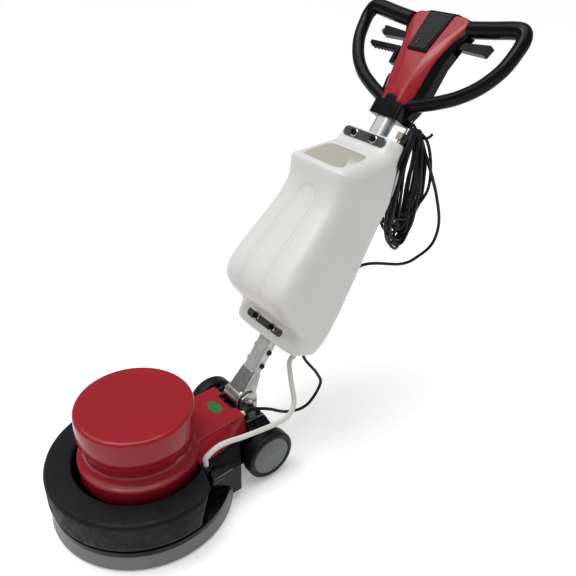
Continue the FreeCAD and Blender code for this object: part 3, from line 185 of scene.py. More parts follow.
def milky(name, colour, roughness, depth, weight, glow=0.0):
    """Translucent blow-moulded plastic: light spreads under a waxy skin.

    glow stands for the daylight that comes through the far walls of a hollow.
    """
    n = Nodes(name)
    cloudy = n.ranged(n.noise(5, detail=3), 0, 1)
    n.link(n.mixed(cloudy, shade(colour, 0.96), colour), n.shader.inputs["Base Color"])
    n.link(n.ranged(n.noise(60, detail=5), roughness * 0.8, roughness * 1.2),
           n.shader.inputs["Roughness"])
    n.link(n.bump(n.noise(16, detail=3), 0.2, 0.0008), n.shader.inputs["Normal"])
    n.set(Subsurface_Weight=weight, Subsurface_Radius=(1.0, 0.95, 0.85),
          Subsurface_Scale=depth, Emission_Color=(*colour, 1), Emission_Strength=glow)
    return n.material


def fibrous(name, colour):
    """Non-woven fibre pad."""
    n = Nodes(name)
    strands = n.noise(420, detail=6, roughness=0.7)
    n.link(n.mixed(n.ranged(strands, 0, 1), shade(colour, 0.45), shade(colour, 1.35)),
           n.shader.inputs["Base Color"])
    n.link(n.bump(strands, 0.9, 0.0012), n.shader.inputs["Normal"])
    n.set(Roughness=0.92)
    return n.material


def make_materials():
    red = (0.275, 0.011, 0.019)
    black = (0.0032, 0.0032, 0.0040)
    along_tube = (1, 0.06, 0.06)
    return {
        "deck": moulded("deck_plastic", black, 0.15, shine=0.16),
        "skirt": moulded("skirt_rubber", (0.150, 0.150, 0.152), 0.42, grain=300, mottle=0.06,
                         shine=0.3),
        "weight": moulded("weight_coating", (0.0068, 0.0070, 0.0078), 0.55, grain=260,
                          depth=0.0004, mottle=0.3, shine=0.14),
        "red_cover": moulded("cover_plastic", red, 0.14, mottle=0.05, shine=0.26),
        "badge": moulded("badge_green", (0.012, 0.120, 0.026), 0.38, mottle=0.3),
        "steel": metal("machined_steel", (0.42, 0.42, 0.44), 0.30),
        "bright_steel": metal("plated_steel", (0.60, 0.59, 0.57), 0.16),
        "black_steel": metal("black_steel", (0.020, 0.020, 0.022), 0.34),
        "strap_steel": metal("strap_steel", (0.19, 0.19, 0.195), 0.22, mottle=0.5),
        "cast_alloy": metal("polished_casting", (0.44, 0.44, 0.435), 0.24, grain=260,
                            depth=0.0003, mottle=0.35),
        "tube_alloy": metal("satin_tube", (0.56, 0.56, 0.555), 0.50, along_tube, mottle=0.06),
        "housing_alloy": metal("rough_casting", (0.42, 0.43, 0.44), 0.45, grain=260,
                               depth=0.0003),
        "laminations": metal("laminations", (0.20, 0.20, 0.23), 0.45, (1, 1, 12)),
        "copper": metal("copper_wire", (0.55, 0.24, 0.10), 0.32, (1, 1, 8), grain=300,
                        depth=0.0004),
        "brass": metal("brass", (0.44, 0.39, 0.28), 0.30),
        "nylon": moulded("nylon", (0.62, 0.60, 0.52), 0.45),
        "driver": moulded("driver_plastic", (0.010, 0.010, 0.011), 0.5, grain=300),
        "pad": fibrous("pad_fibre", (0.30, 0.035, 0.030)),
        "tyre": moulded("tyre_rubber", (0.0045, 0.0045, 0.0050), 0.45, grain=350,
                        depth=0.0002, shine=0.2),
        "hub_cap": moulded("hub_plastic", (0.125, 0.131, 0.133), 0.5, grain=220, mottle=0.18,
                           depth=0.0002, shine=0.3),
        "tank": milky("tank_plastic", (0.60, 0.605, 0.59), 0.36, 0.014, 0.35),
        # inside of the tank wall: its glow is painted light for the daylight that comes through the far walls
        "tank_inside_painted_glow": milky("tank_inside_painted_glow", (0.62, 0.61, 0.57), 0.5, 0.01, 0.2, glow=0.30),
        "head_red": moulded("head_red", red, 0.17, mottle=0.05, shine=0.36),
        "head_black": moulded("head_black", black, 0.17, shine=0.13),
        "button_red": moulded("button_red", (0.36, 0.008, 0.012), 0.3, coat=0.3),
        "hose": milky("hose_plastic", (0.62, 0.62, 0.575), 0.30, 0.004, 0.3),
        "cable": moulded("cable_sheath", (0.0040, 0.0040, 0.0045), 0.36, shine=0.2),
    }


materials = make_materials()
slot_of = {row["node"]: row["material_slot"] for row in frame["record"]["subparts"]}
body_of = {node: body for body, nodes in frame["record"]["behaviour"]["bodies"].items()
           for node in nodes}


# ---------------------------------------------------------------- mesh helpers

def new_piece(name, mesh, slot):
    piece = bpy.data.objects.new(name, mesh)
    bpy.context.scene.collection.objects.link(piece)
    mesh.materials.clear()
    mesh.materials.append(materials[slot])
    mesh.polygons.foreach_set("use_smooth", [True] * len(mesh.polygons))
    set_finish(piece, slot)
    return piece


def stand_for(piece, node):
    """The piece takes the place of a CAD node and rides on its body."""
    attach(piece, body_of[node])
    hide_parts(node)
    return piece


def mesh_of(name, corners, faces):
    mesh = bpy.data.meshes.new(name)
    mesh.from_pydata([tuple(corner) for corner in corners], [], faces)
    mesh.validate()
    work = bmesh.new()
    work.from_mesh(mesh)
    bmesh.ops.recalc_face_normals(work, faces=work.faces)
    work.to_mesh(mesh)
    work.free()
    return mesh


def even_normals(piece, bevel=0.0, segments=2, angle=32):
    """Small rounded edges, then normals that keep the flat faces flat."""
    if bevel:
        edge = piece.modifiers.new("Edges", "BEVEL")
        edge.width = bevel * MM
        edge.segments = segments
        edge.limit_method = "ANGLE"
        edge.angle_limit = math.radians(angle)
        edge.use_clamp_overlap = False
        edge.miter_outer = "MITER_ARC"
    weighted = piece.modifiers.new("Normals", "WEIGHTED_NORMAL")
    weighted.keep_sharp = True
    return piece


def copy_of(node, name):
    """Mesh of a CAD node with its seams joined and flat faces made whole."""
    work = bmesh.new()
    work.from_mesh(frame["nodes"][node].data)
    bmesh.ops.remove_doubles(work, verts=work.verts, dist=1e-6)
    bmesh.ops.dissolve_limit(work, angle_limit=math.radians(0.5), verts=work.verts,
                             edges=work.edges)
    mesh = bpy.data.meshes.new(name)
    work.to_mesh(mesh)
    work.free()
    return mesh


def rounded(node, bevel, segments=2, angle=32):
    """A CAD node shown with softened edges."""
    piece = new_piece(f"{node}_shape", copy_of(node, node), slot_of[node])
    return stand_for(even_normals(piece, bevel, segments, angle), node)


def cast(node, grid, passes):
    """A CAD node shown as a casting, with every edge and corner run smooth."""
    piece = new_piece(f"{node}_casting", copy_of(node, node), slot_of[node])
    remesh = piece.modifiers.new("Grid", "REMESH")
    remesh.mode = "VOXEL"
    remesh.voxel_size = grid * MM
    remesh.use_smooth_shade = True
    smooth = piece.modifiers.new("Flow", "SMOOTH")
    smooth.iterations = passes
    smooth.factor = 0.5
    return stand_for(piece, node)


def turned(name, profile, slot, centre=Vector(), axis="Z", steps=128):
    """A profile of (radius, height) turned about an axis through centre."""
    corners, faces = [], []
    for step in range(steps):
        a = TURN * step / steps
        for radius, height in profile:
            flat = (radius * math.cos(a), radius * math.sin(a), height)
            place = flat if axis == "Z" else (flat[2], flat[0], flat[1])
            corners.append(centre + point(*place))
    count = len(profile)
    for step in range(steps):
        here, following = step * count, (step + 1) % steps * count
        for i in range(count - 1):
            faces.append((here + i, following + i, following + i + 1, here + i + 1))
    mesh = mesh_of(name, corners, faces)
    work = bmesh.new()
    work.from_mesh(mesh)
    bmesh.ops.remove_doubles(work, verts=work.verts, dist=1e-7)
    work.to_mesh(mesh)
    work.free()
    return new_piece(name, mesh, slot)


def arc(centre, radius, start, end, steps=6):
    """Points of a circular arc in a profile, angles in degrees."""
    return [(centre[0] + radius * math.cos(math.radians(start + (end - start) * i / steps)),
             centre[1] + radius * math.sin(math.radians(start + (end - start) * i / steps)))
            for i in range(steps + 1)]


def between(rows, along, column):
    """Value of a column of a table at a height between its rows."""
    for low, high in zip(rows, rows[1:]):
        if low[0] <= along <= high[0]:
            share = (along - low[0]) / (high[0] - low[0])
            return low[column] + (high[column] - low[column]) * share
    return rows[-1][column]


def smooth_path(points, steps=8, closed=False):
    """Catmull-Rom curve through the points."""
    count = len(points)
    spans = count if closed else count - 1
    path = []

    def at(i):
        return points[i % count] if closed else points[max(0, min(count - 1, i))]

    for i in range(spans):
        p0, p1, p2, p3 = at(i - 1), at(i), at(i + 1), at(i + 2)
        for step in range(steps):
            t = step / steps
            path.append(0.5 * (2 * p1 + (p2 - p0) * t + (2 * p0 - 5 * p1 + 4 * p2 - p3) * t ** 2
                               + (3 * p1 - p0 - 3 * p2 + p3) * t ** 3))
    if not closed:
        path.append(points[-1].copy())
    return path


def loft(levels, count, closed=False):
    """Quads between neighbouring levels of a section that has count corners."""
    faces = []
    for level in range(levels if closed else levels - 1):
        here, above = level * count, (level + 1) % levels * count
        for i in range(count):
            following = (i + 1) % count
            faces.append((here + i, here + following, above + following, above + i))
    return faces


def sweep(name, path, radii, slot, sides=20, closed=False):
    """Round tube along a path; radii in millimetres, one for each point or one for all."""
    count = len(path)
    if not isinstance(radii, (list, tuple)):
        radii = [radii] * count
    corners = []
    normal = None
    for i, place in enumerate(path):
        before = path[i - 1] if closed or i else path[0]
        after = path[(i + 1) % count] if closed or i < count - 1 else path[-1]
        heading = (after - before).normalized()
        if normal is None:
            normal = heading.orthogonal().normalized()
        normal = (normal - heading * normal.dot(heading)).normalized()
        side = heading.cross(normal)
        for step in range(sides):
            a = TURN * step / sides
            corners.append(place + (normal * math.cos(a) + side * math.sin(a)) * radii[i] * MM)
    faces = loft(count, sides, closed)
    if not closed:
        faces.append(tuple(range(sides)))
        faces.append(tuple(range((count - 1) * sides, count * sides)))
    return new_piece(name, mesh_of(name, corners, faces), slot)


def join(name, pieces):
    """One piece out of several with the same material."""
    work = bmesh.new()
    for piece in pieces:
        work.from_mesh(piece.data)
    mesh = bpy.data.meshes.new(name)
    work.to_mesh(mesh)
    work.free()
    slot = pieces[0]["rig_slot"]
    for piece in pieces:
        bpy.data.objects.remove(piece)
    return new_piece(name, mesh, slot)


# ---------------------------------------------------------------- deck, weight and covers

DRUM_RADIUS = 137.6
NECK_RADIUS = 120
FLARE_RADIUS = 27
COLLAR_RADIUS = 142.9


def motor_cover():
    """Drum that turns under to a neck, then flares into a rounded collar."""
    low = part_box("motor_cover")[0].z / MM
    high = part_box("motor_cover")[1].z / MM
    profile = [(0, high), (60, high - 0.2), (104, high - 0.8)]
    profile += arc((126.5, high - 10), 10, 86, 4, 8)
    profile += [(DRUM_RADIUS, 262)]
    profile += arc((122.5, 237), 15, 0, -62, 8)
    profile += [(124.2, 213), (121, 204), (NECK_RADIUS, 194)]
    profile += arc((NECK_RADIUS + FLARE_RADIUS, 190), FLARE_RADIUS, 180, 248, 8)
    profile += arc((138.4, 159.5), 4.4, 64, 0, 4)
    profile += [(COLLAR_RADIUS, 150), (142.6, low + 4), (141.4, low), (136, low)]
    stand_for(turned("motor_cover_shell", profile, "red_cover"), "motor_cover")


# radius, height of the corners of the ring's section
RING_SECTION = [(157, 61), (157, 138), (159, 142), (163, 144), (209, 144), (215, 142.5),
                (219, 138.5), (221, 133), (221, 78), (219, 68), (214, 61)]
# radius, degrees from +X at which the ring's upper edge ends
RING_END = [(157, 35.5), (178, 35), (190, 32), (204, 25.5), (213, 19), (221, 12)]
RING_FOOT = 61
RING_HEIGHT = 83
RING_STEPS = 110
# degrees by which the ring's end slopes back from its upper edge to its foot
RING_END_SLOPE = 6


def weight_ring():
    """C-shaped casting with rounded corners; both ends slope back below their noses."""
    corners = []
    for step in range(RING_STEPS + 1):
        share = step / RING_STEPS
        for radius, height in RING_SECTION:
            rise = (height - RING_FOOT) / RING_HEIGHT
            nose = between(RING_END, radius, 1) - RING_END_SLOPE * (1 - rise)
            start, end = math.radians(nose), math.radians(180 - nose)
            a = start - (TURN - (end - start)) * share
            corners.append(point(radius * math.cos(a), radius * math.sin(a), height))
    count = len(RING_SECTION)
    faces = loft(RING_STEPS + 1, count)
    faces += [tuple(range(count)), tuple(range(RING_STEPS * count, (RING_STEPS + 1) * count))]
    mesh = mesh_of("weight_ring_casting", corners, faces)
    piece = new_piece("weight_ring_casting", mesh, "weight")
    stand_for(even_normals(piece, 2.5, 3, 40), "weight_ring")


WING_FACE = 152.3
# both ends of each rib, as (towards the handle, height)
WING_RIBS = (((112, 108.5), (163, 113)), ((106, 96), (139, 100)))
WING_RIB_RADIUS = 1.3


def wing_ribs_painted_highlight():
    """Two slim ribs on the outer face of each wing of the deck, drawn in the pale grey of the skirt as a painted
    highlight along each rib.
    """
    for side, hand in SIDES:
        for number, ends in enumerate(WING_RIBS):
            path = [point(side * WING_FACE, y, z) for y, z in ends]
            # the pale grey skirt material on the black deck is a painted highlight along the rib
            rib = sweep(f"wing_rib_{hand}_{number}", path, WING_RIB_RADIUS, "skirt", 12)
            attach(rib, "base")


def deck():
    wing_ribs_painted_highlight()
    rounded("deck_housing", 1.6, 2)
    rounded("splash_skirt", 1.2, 3)
    rounded("tail_cover", 2.2, 3)
    rounded("cover_badge", 0.5, 2)


# ---------------------------------------------------------------- wheels

TYRE_SHOULDER = 9
TYRE_DEPTH = 15


def wheels():
    """Tyres with round shoulders, turned about the axle, and softened hubs."""
    for side, name in SIDES:
        low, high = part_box(f"wheel_{name}_tyre")
        centre = (low + high) / 2
        outer = (high.z - low.z) / 2 / MM
        half = (high.x - low.x) / 2 / MM
        shoulder = outer - TYRE_SHOULDER
        profile = [(outer - TYRE_DEPTH, -half), (outer - 7, -half)]
        profile += arc((shoulder, TYRE_SHOULDER - half), TYRE_SHOULDER, -90, 0, 6)
        profile += arc((shoulder, half - TYRE_SHOULDER), TYRE_SHOULDER, 0, 90, 6)
        profile += [(outer - 13, half), (outer - 14.5, half - 1),
                    (outer - TYRE_DEPTH, half - 3)]
        if side < 0:
            profile = [(radius, -height) for radius, height in profile]
        tyre = turned(f"wheel_{name}_tyre_shape", profile, "tyre", centre, "X")
        stand_for(tyre, f"wheel_{name}_tyre")
        rounded(f"wheel_{name}_hub", 0.8)


# ---------------------------------------------------------------- tank

# along the tube, front, rear of the side lobes, half width, half width of the lobes
TANK_ROWS = [
    (173, 38, 14, 108, 94), (176, 41, 20, 117, 106), (185, 42, 32, 124, 118),
    (192, 42, 52, 127, 127), (221, 42, 58, 129, 129), (231, 64, 60, 129, 129),
    (244, 110, 61, 130, 130), (266, 145, 61, 131, 131), (296, 161, 61, 131, 131),
    (338, 158, 60, 128, 128), (400, 146, 59, 123, 123), (470, 132, 56, 117, 117),
    (532, 122, 52, 113, 113), (572, 130, 50, 113, 113), (596, 148, 48, 114, 114),
    (609, 152, 47, 113, 113), (619, 138, 46, 112, 112), (649, 102, 44, 108, 108),
    (680, 66, 42, 104, 104), (691, 52, 40, 101, 99), (704, 42, 39, 99, 82),
    (722, 40, 38, 98.5, 76), (739, 39, 36, 97.5, 74), (743, 35, 32, 92, 70),
]
MOUTH_ROWS = (16, 18)
MOUTH_HALF = 70
CHANNEL_HALF = 31
CHANNEL_FRONT = 20
TANK_WALL = 4.5
ARCH_HALF = 36
ARCH_CENTRE = 528
ARCH_LEG = (280, 520)
ARCH_SPREAD = 5
RIDGE_RADIUS = 14
RIDGE_SUNK = 13.2


def tank_half_ring(row):
    """Right half of one level of the tank, from its front middle to the tube channel."""
    _, front, rear, half, lobe = row
    nook = min(42, front * 0.5)
    return [
        (0, front), (30, front), (MOUTH_HALF, front), (half - 19, front - 4),
        (half, front - nook), (half, (front - nook - rear + 15) / 2), (lobe, 15 - rear),
        (lobe - 12, -rear), (46, -rear), (CHANNEL_HALF, 12 - rear),
        (CHANNEL_HALF, CHANNEL_FRONT - 7), (CHANNEL_HALF - 7, CHANNEL_FRONT),
        (0, CHANNEL_FRONT),
    ]


def tank_cage():
    """Coarse cage of the tank, level by level, left open at its filler mouth."""
    corners, faces = [], []
    for row in TANK_ROWS:
        half = tank_half_ring(row)
        whole = half + [(-x, v) for x, v in reversed(half[1:-1])]
        corners += [on_handle(x, v, row[0]) for x, v in whole]
    ring = 2 * (len(half) - 1)
    mouth_columns = {0, 1, ring - 1, ring - 2}
    for level in range(len(TANK_ROWS) - 1):
        for i in range(ring):
            if MOUTH_ROWS[0] <= level < MOUTH_ROWS[1] and i in mouth_columns:
                continue
            here, above = level * ring, (level + 1) * ring
            following = (i + 1) % ring
            faces.append((here + i, here + following, above + following, above + i))
    last = len(half) - 1
    for base in (0, (len(TANK_ROWS) - 1) * ring):
        for sign in (1, -1):
            for i in range(last // 2):
                quad = [i, i + 1, last - i - 1, last - i]
                face = [base + sign * corner % ring for corner in quad]
                faces.append(tuple(dict.fromkeys(face)))
    return corners, faces


def surface_at(tree, across, along):
    """Where the tank's front is met by a ray from ahead."""
    start = on_handle(across, 400, along)
    hit, normal, _, _ = tree.ray_cast(start, -TUBE_FRONT)
    return hit, normal


def tank():
    """Hollow tank with its arch and the spout that the hose fits on."""
    corners, faces = tank_cage()
    shell = new_piece("tank_body", mesh_of("tank_body", corners, faces), "tank")
    # the inner face of the wall takes the glowing inner material, painted light for daylight shining through the
    # tank
    shell.data.materials.append(materials["tank_inside_painted_glow"])
    wall = shell.modifiers.new("Wall", "SOLIDIFY")
    wall.thickness = TANK_WALL * MM
    wall.offset = -1
    wall.material_offset = 1
    curves = shell.modifiers.new("Curves", "SUBSURF")
    curves.levels = curves.render_levels = 3
    stand_for(shell, "tank_shell")
    tank_arch(shell)
    nipple = [on_handle(62, -47, along) for along in (186, 176, 160, 154)]
    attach(sweep("tank_spout", nipple, [11, 10, 8.2, 8.2], "tank"), body_of["tank_shell"])


def tank_arch(shell):
    """Shallow raised line in the shape of an arch on the front of the tank."""
    bpy.context.view_layer.update()
    tree = BVHTree.FromObject(shell, bpy.context.evaluated_depsgraph_get())
    foot, top = ARCH_LEG
    leg = [(-ARCH_HALF - ARCH_SPREAD * (top - along) / (top - foot), along)
           for along in range(foot, top + 1, 20)]
    crown = [(ARCH_HALF * math.cos(a), ARCH_CENTRE + ARCH_HALF * math.sin(a))
             for a in (math.pi * (1 - step / 12) for step in range(13))]
    outline = leg + crown + [(-across, along) for across, along in reversed(leg)]
    path = []
    for across, along in outline:
        hit, normal = surface_at(tree, across, along)
        path.append(hit - normal * RIDGE_SUNK * MM)
    ridge = sweep("tank_arch_line", smooth_path(path, 3), RIDGE_RADIUS, "tank", 72)
    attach(ridge, body_of["tank_shell"])


# ---------------------------------------------------------------- head

# along the tube, half width of the flat front, half width over the flanks, front, foot
COVER_ROWS = [
    (833, 26, 45, 22, -5), (847, 26.5, 47, 22, -3), (875, 27.5, 51, 22.3, 2),
    (905, 29, 54, 23, 6), (935, 31, 57, 23, 8), (960, 35, 61, 22, 8), (985, 44, 67, 17, 5),
    (1010, 56, 75, 12.5, 1), (1035, 70, 84, 7.5, -2), (1052, 78, 88, 4, -4),
    (1066, 78, 86, 1.5, -5), (1076, 66, 74, -0.5, -6),
]
COVER_NOTCH = 18
COVER_WALL = 3
# place in a row of the corner between the flat front and the flank
FLANK_CREASE = 3
# along the tube, half width of the housing
HOUSING_SIDES = [(833, 61), (875, 69), (890, 71.5), (903, 71.5), (950, 71.5), (956, 71.5),
                 (1002, 81.5), (1038, 98), (1052, 98)]
HOUSING_FACE = -7
LEVER_SLOT = (903, 950)
CHEEK_STEPS = 16
# along the tube, half width, share of the full rise
PANEL_ENDS = ((964, 30, 1.0), (1079, 40, 0.55))
# rise above the red cover, inset from the panel's outline
PANEL_STEPS = ((-0.5, 0), (5.0, 0.8), (5.4, 3.2), (9.0, 4.6))
LAMP_ACROSS = -9


def head_cover():
    """Red cover: a flat front, creased into flanks that curve down to the housing."""
    corners, faces, creased = [], [], []
    for along, flat, half, front, foot in COVER_ROWS:
        drop = front - foot
        across = [(0, front + 0.6), (COVER_NOTCH, front + 0.5), (flat - 4, front),
                  (flat, front - 0.8), ((flat + half) / 2 + 1, front - drop * 0.36),
                  (half - 1, front - drop * 0.72), (half, foot)]
        whole = [(-x, v) for x, v in reversed(across[1:])] + across
        corners += [on_handle(x, v, along) for x, v in whole]
    count = len(whole)
    middle = count // 2
    for level in range(len(COVER_ROWS) - 1):
        for i in range(count - 1):
            if level == 0 and i in (middle - 1, middle):
                continue
            here, above = level * count, (level + 1) * count
            faces.append((here + i, here + i + 1, above + i + 1, above + i))
        creased += [(level * count + i, (level + 1) * count + i)
                    for i in (FLANK_CREASE, count - 1 - FLANK_CREASE)]
    mesh = mesh_of("head_cover_shell", corners, faces)
    piece = new_piece("head_cover_shell", mesh, "head_red")
    set_creases(mesh, creased, 0.75)
    wall = piece.modifiers.new("Wall", "SOLIDIFY")
    wall.thickness = COVER_WALL * MM
    wall.offset = -1
    curves = piece.modifiers.new("Curves", "SUBSURF")
    curves.levels = curves.render_levels = 3
    stand_for(piece, "head_cover")


def head_cheek(name, side, start, end):
    """One black flank between two places along the tube."""
    corners = []
    for step in range(CHEEK_STEPS + 1):
        along = start + (end - start) * step / CHEEK_STEPS
        edge = between(COVER_ROWS, along, 2) - 1.5
        foot = between(COVER_ROWS, along, 4) + 1
        outer = between(HOUSING_SIDES, along, 1)
        section = [(edge, foot), ((edge + outer) / 2 + 1.5, (foot + HOUSING_FACE) / 2 + 1),
                   (outer, HOUSING_FACE), (edge - 9, HOUSING_FACE)]
        corners += [on_handle(side * x, v, along) for x, v in section]
    faces = loft(CHEEK_STEPS + 1, 4)
    faces += [(0, 1, 2, 3), tuple(CHEEK_STEPS * 4 + i for i in range(4))]
    cheek = new_piece(name, mesh_of(name, corners, faces), "head_black")
    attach(even_normals(cheek, 1.2, 3), "handle")


def head_cheeks():
    """Black flanks that rise to the red cover; the right one leaves room for the lever."""
    low, high = COVER_ROWS[0][0], HOUSING_SIDES[-1][0]
    spans = {"left": [(low, high)],
             "right": [(low, LEVER_SLOT[0]), (LEVER_SLOT[1], high)]}
    for side, hand in SIDES:
        for number, (start, end) in enumerate(spans[hand]):
            head_cheek(f"head_cheek_{hand}_{number}", side, start, end)


def set_creases(mesh, pairs, weight):
    """Edges between the given pairs of corners stay partly sharp when subdivided."""
    wanted = {tuple(sorted(pair)) for pair in pairs}
    crease = mesh.attributes.new("crease_edge", "FLOAT", "EDGE")
    for edge in mesh.edges:
        if tuple(sorted(edge.vertices)) in wanted:
            crease.data[edge.index].value = weight


def control_panel():
    """Two-step panel, thick at its lower end, that tapers towards the neck."""
    corners = []
    for rise, inset in PANEL_STEPS:
        for side, order in ((-1, PANEL_ENDS), (1, PANEL_ENDS[::-1])):
            for along, half, share in order:
                inner = inset if along == PANEL_ENDS[0][0] else -inset
                base = between(COVER_ROWS, along, 3)
                corners.append(on_handle(side * (half - inset), base + rise * share,
                                         along + inner))
    faces = loft(len(PANEL_STEPS), 4)
    top = (len(PANEL_STEPS) - 1) * 4
    faces += [(3, 2, 1, 0), (top, top + 1, top + 2, top + 3)]
    piece = new_piece("panel", mesh_of("panel", corners, faces), "head_black")
    stand_for(even_normals(piece, 1.3, 3, 20), "control_panel")


def panel_lamps():
    """Two small indicator lamps at the lower end of the panel."""
    for number, along in enumerate((984, 991)):
        ends = [on_handle(LAMP_ACROSS, ahead - number, along) for ahead in (25.5, 28.0)]
        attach(sweep(f"panel_lamp_{number}", ends, 1.1, "steel", 12), "handle")


def handle_loops():
    """Each side is one bar: a thick grip that bends round into the thinner D-loop."""
    depth = -8
    loops = []
    for side in (1, -1):
        places = [
            ((90, -13.5, 1053), 20), ((150, -11, 1060), 20), ((204, -8, 1067), 20),
            ((228, -7, 1066), 19), ((239, depth, 1051), 17.5), ((240, depth, 1026), 16.5),
            ((229, depth, 975), 16.5), ((199, depth, 927), 16.5), ((156, depth, 890), 16.5),
            ((108, depth, 865), 16.5), ((66, depth, 848), 16.5), ((34, depth, 836), 16.5),
        ]
        path = smooth_path([on_handle(side * x, v, w) for (x, v, w), _ in places], 10)
        radii = []
        for (_, first), (_, second) in zip(places, places[1:]):
            radii += [first + (second - first) * step / 10 for step in range(10)]
        loops.append(sweep(f"loop_{side}", path, radii + [places[-1][1]], "head_black", 32))
    stand_for(join("handle_loops", loops), "handle_loop")


def head():
    head_cover()
    head_cheeks()
    control_panel()
    panel_lamps()
    handle_loops()
    rounded("head_housing", 1.5, 2)
    for node in ("motor_trigger", "water_trigger", "tilt_lever", "safety_button",
                 "motor_switch"):
        rounded(node, 0.9, 2)


# ---------------------------------------------------------------- joint and hardware

def hardware():
    cast("handle_socket", 1.3, 5)
    rounded("pivot_bracket", 1.2, 2)
    for node in ("lock_sector", "pivot_pin", "bracket_bolts", "socket_bolts", "strap_bolts",
                 "valve_gland", "hose_grommet", "cable_gland"):
        rounded(node, 0.5, 2)
    straps = rounded("tank_straps", 1.2, 3)
    straps.data.materials[0] = materials["strap_steel"]
    strap_washers()


STRAP_BOLT_ACROSS = 32.9
STRAPS_ALONG = (207, 725)
WASHER_FACES = (43.8, 45.2)
WASHER_RADIUS = 11


def strap_washers():
    """Bright washers under the heads of the four strap bolts."""
    for side, hand in SIDES:
        for number, along in enumerate(STRAPS_ALONG):
            ends = [on_handle(side * STRAP_BOLT_ACROSS, ahead, along)
                    for ahead in WASHER_FACES]
            washer = sweep(f"strap_washer_{number}_{hand}", ends, WASHER_RADIUS,
                           "bright_steel", 32)
            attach(washer, "handle")


# ---------------------------------------------------------------- hose, cable and cord

def solution_hose():
    """Milky hose from the tank's spout over the left wheel to the deck."""
    places = [
        on_handle(62, -47, 158), on_handle(62, -47, 138), point(78, 397, 221),
        point(104, 388, 166), point(120, 352, 149), point(126, 312, 154),
        point(128, 272, 160), point(126, 217, 166), point(121, 152, 172),
        point(122, 110, 158), point(122, 108, 142), point(122, 108, 131),
    ]
    hose = sweep("hose_tube", smooth_path(places, 12), 6.6, "hose", 24)
    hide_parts("solution_hose")
    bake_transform(hose)


def motor_cable():
    """Black cable from the head, behind the tank, into the motor's cover."""
    places = [
        on_handle(20, -40, 812), on_handle(62, -66, 790), on_handle(104, -68, 760),
        point(120, 790, 715), point(122, 826, 640), point(121, 853, 560),
        point(116, 846, 500), point(105, 810, 468), point(90, 760, 452),
        on_handle(78, -90, 440), on_handle(70, -75, 330), on_handle(68, -75, 240),
        on_handle(64, -76, 172), point(62, 500, 187), point(62, 516, 143),
        point(60, 486, 96), point(60, 448, 86), point(60, 395, 104), point(60, 346, 138),
        point(56, 316, 153), point(51, 292, 159), point(50, 260, 159),
    ]
    cable = sweep("motor_cable_sheath", smooth_path(places, 10), 4.2, "cable", 16)
    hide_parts("motor_cable")
    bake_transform(cable)


CORD_LOOPS = 17
CORD_STEPS = 14
CORD_RADIUS = 3.9
# half width of the smallest loop and growth from loop to loop, in metres
LOOP_WIDTH = 0.018
LOOP_GROWTH = 0.0033


def cord_loop(number, dice, middle, top, bottom):
    """One loop of the hank, narrow at the hook and wide at its foot."""
    wide = LOOP_WIDTH + LOOP_GROWTH * number
    drop = (top - bottom) / 2 - dice.uniform(-0.010, 0.034)
    lean = dice.uniform(-0.016, 0.016)
    shift = dice.uniform(-0.012, 0.010)

    def loose():
        return dice.uniform(-0.003, 0.003)

    places = []
    for step in range(CORD_STEPS):
        a = TURN * step / CORD_STEPS
        spread = 0.30 + 0.70 * (1 - math.sin(a)) / 2
        across = middle.x + shift * (0.4 + spread) + lean * math.cos(a) + loose()
        back = (middle.y - 0.036 * spread + wide * math.cos(a) * (0.5 + spread * 0.75)
                + loose())
        height = top - drop + drop * math.sin(a) + loose()
        places.append(Vector((across, back, height)))
    path = smooth_path(places, 6, True)
    return sweep(f"cord_{number}", path, CORD_RADIUS, "cable", 12, True)


def power_cord():
    """Hank of cord hung on the hook: many loose loops that gather at the top."""
    dice = random.Random(5)
    low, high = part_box("power_cord")
    middle = (low + high) / 2 + point(-6, -14, 0)
    top = high.z - 14 * MM
    loops = [cord_loop(number, dice, middle, top, low.z) for number in range(CORD_LOOPS)]
    stand_for(join("power_cord_hank", loops), "power_cord")


# ---------------------------------------------------------------- stage, light and camera

def stage():
    """Pale floor that glows a little, so that it reads as plain white."""
    bpy.ops.mesh.primitive_plane_add(size=60, location=(0, 0, -0.001))
    floor = bpy.context.object
    floor.name = "studio_floor"
    n = Nodes("studio_floor")
    n.link(n.mixed(n.ranged(n.noise(0.6), 0, 1), (0.86, 0.86, 0.86), (0.88, 0.88, 0.88)),
           n.shader.inputs["Base Color"])
    n.set(Roughness=0.9, Emission_Color=(1, 1, 1, 1), Emission_Strength=0.26)
    floor.data.materials.append(n.material)


def softbox(name, place, aim, size, watts):
    light = bpy.data.lights.new(name, "AREA")
    light.shape = "SQUARE"
    light.size = size
    light.energy = watts
    lamp = bpy.data.objects.new(name, light)
    lamp.location = place
    lamp.rotation_euler = (Vector(aim) - Vector(place)).to_track_quat("-Z", "Y").to_euler()
    bpy.context.scene.collection.objects.link(lamp)


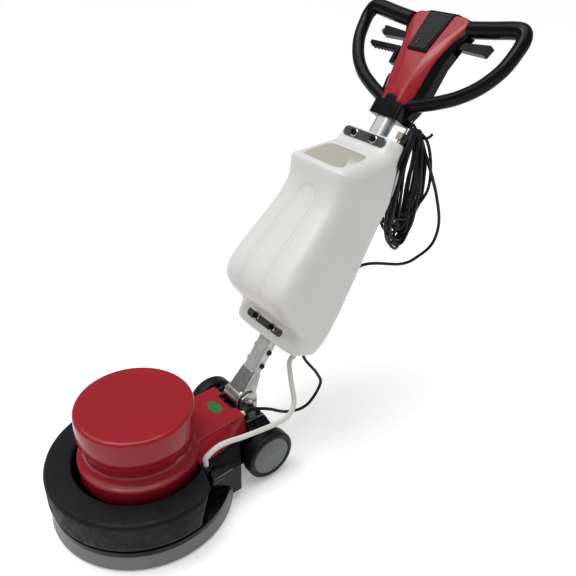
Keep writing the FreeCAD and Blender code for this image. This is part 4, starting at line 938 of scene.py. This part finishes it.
def lighting():
    """Soft daylight from every side, with two soft panels above."""
    world = bpy.data.worlds.new("studio")
    bpy.context.scene.world = world
    world.use_nodes = True
    world.node_tree.nodes["Background"].inputs["Color"].default_value = (1, 1, 1, 1)
    world.node_tree.nodes["Background"].inputs["Strength"].default_value = 0.33
    sky = bpy.data.lights.new("sky_panel", "SUN")
    sky.energy = 1.7
    sky.angle = math.radians(70)
    lamp = bpy.data.objects.new("sky_panel", sky)
    lamp.rotation_euler = Vector((0.25, 0.35, -1.3)).to_track_quat("-Z", "Y").to_euler()
    bpy.context.scene.collection.objects.link(lamp)
    aim = (0, 0.3, 0.4)
    softbox("key", (-0.5, -0.7, 3.6), aim, 1.4, 30)
    softbox("top", (0.4, 0.6, 3.4), aim, 2.2, 18)


def camera():
    """Seen from the machine's front left, above handle height."""
    place = Vector((1.095, -0.455, 1.2826))
    yaw, pitch, roll = (math.radians(a) for a in (50.67, 30.63, 1.65))
    ahead = Vector((-math.sin(yaw) * math.cos(pitch), math.cos(yaw) * math.cos(pitch),
                    -math.sin(pitch)))
    level = Vector((math.cos(yaw), math.sin(yaw), 0))
    upright = level.cross(ahead)
    right = level * math.cos(roll) + upright * math.sin(roll)
    up = upright * math.cos(roll) - level * math.sin(roll)
    eye = bpy.data.objects.new("camera", bpy.data.cameras.new("camera"))
    eye.data.sensor_width = 36
    eye.data.lens = 40.8
    eye.matrix_world = Matrix((
        (right.x, up.x, -ahead.x, place.x), (right.y, up.y, -ahead.y, place.y),
        (right.z, up.z, -ahead.z, place.z), (0, 0, 0, 1)))
    bpy.context.scene.collection.objects.link(eye)
    bpy.context.scene.camera = eye


def dress_cad_nodes():
    """Every CAD node takes the material of its slot."""
    for node, thing in frame["nodes"].items():
        thing.data.materials.clear()
        thing.data.materials.append(materials[slot_of[node]])
        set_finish(thing, slot_of[node])


dress_cad_nodes()
motor_cover()
weight_ring()
deck()
wheels()
tank()
head()
hardware()
solution_hose()
motor_cable()
power_cord()
stage()
lighting()
camera()
bpy.context.scene.view_settings.view_transform = "Standard"
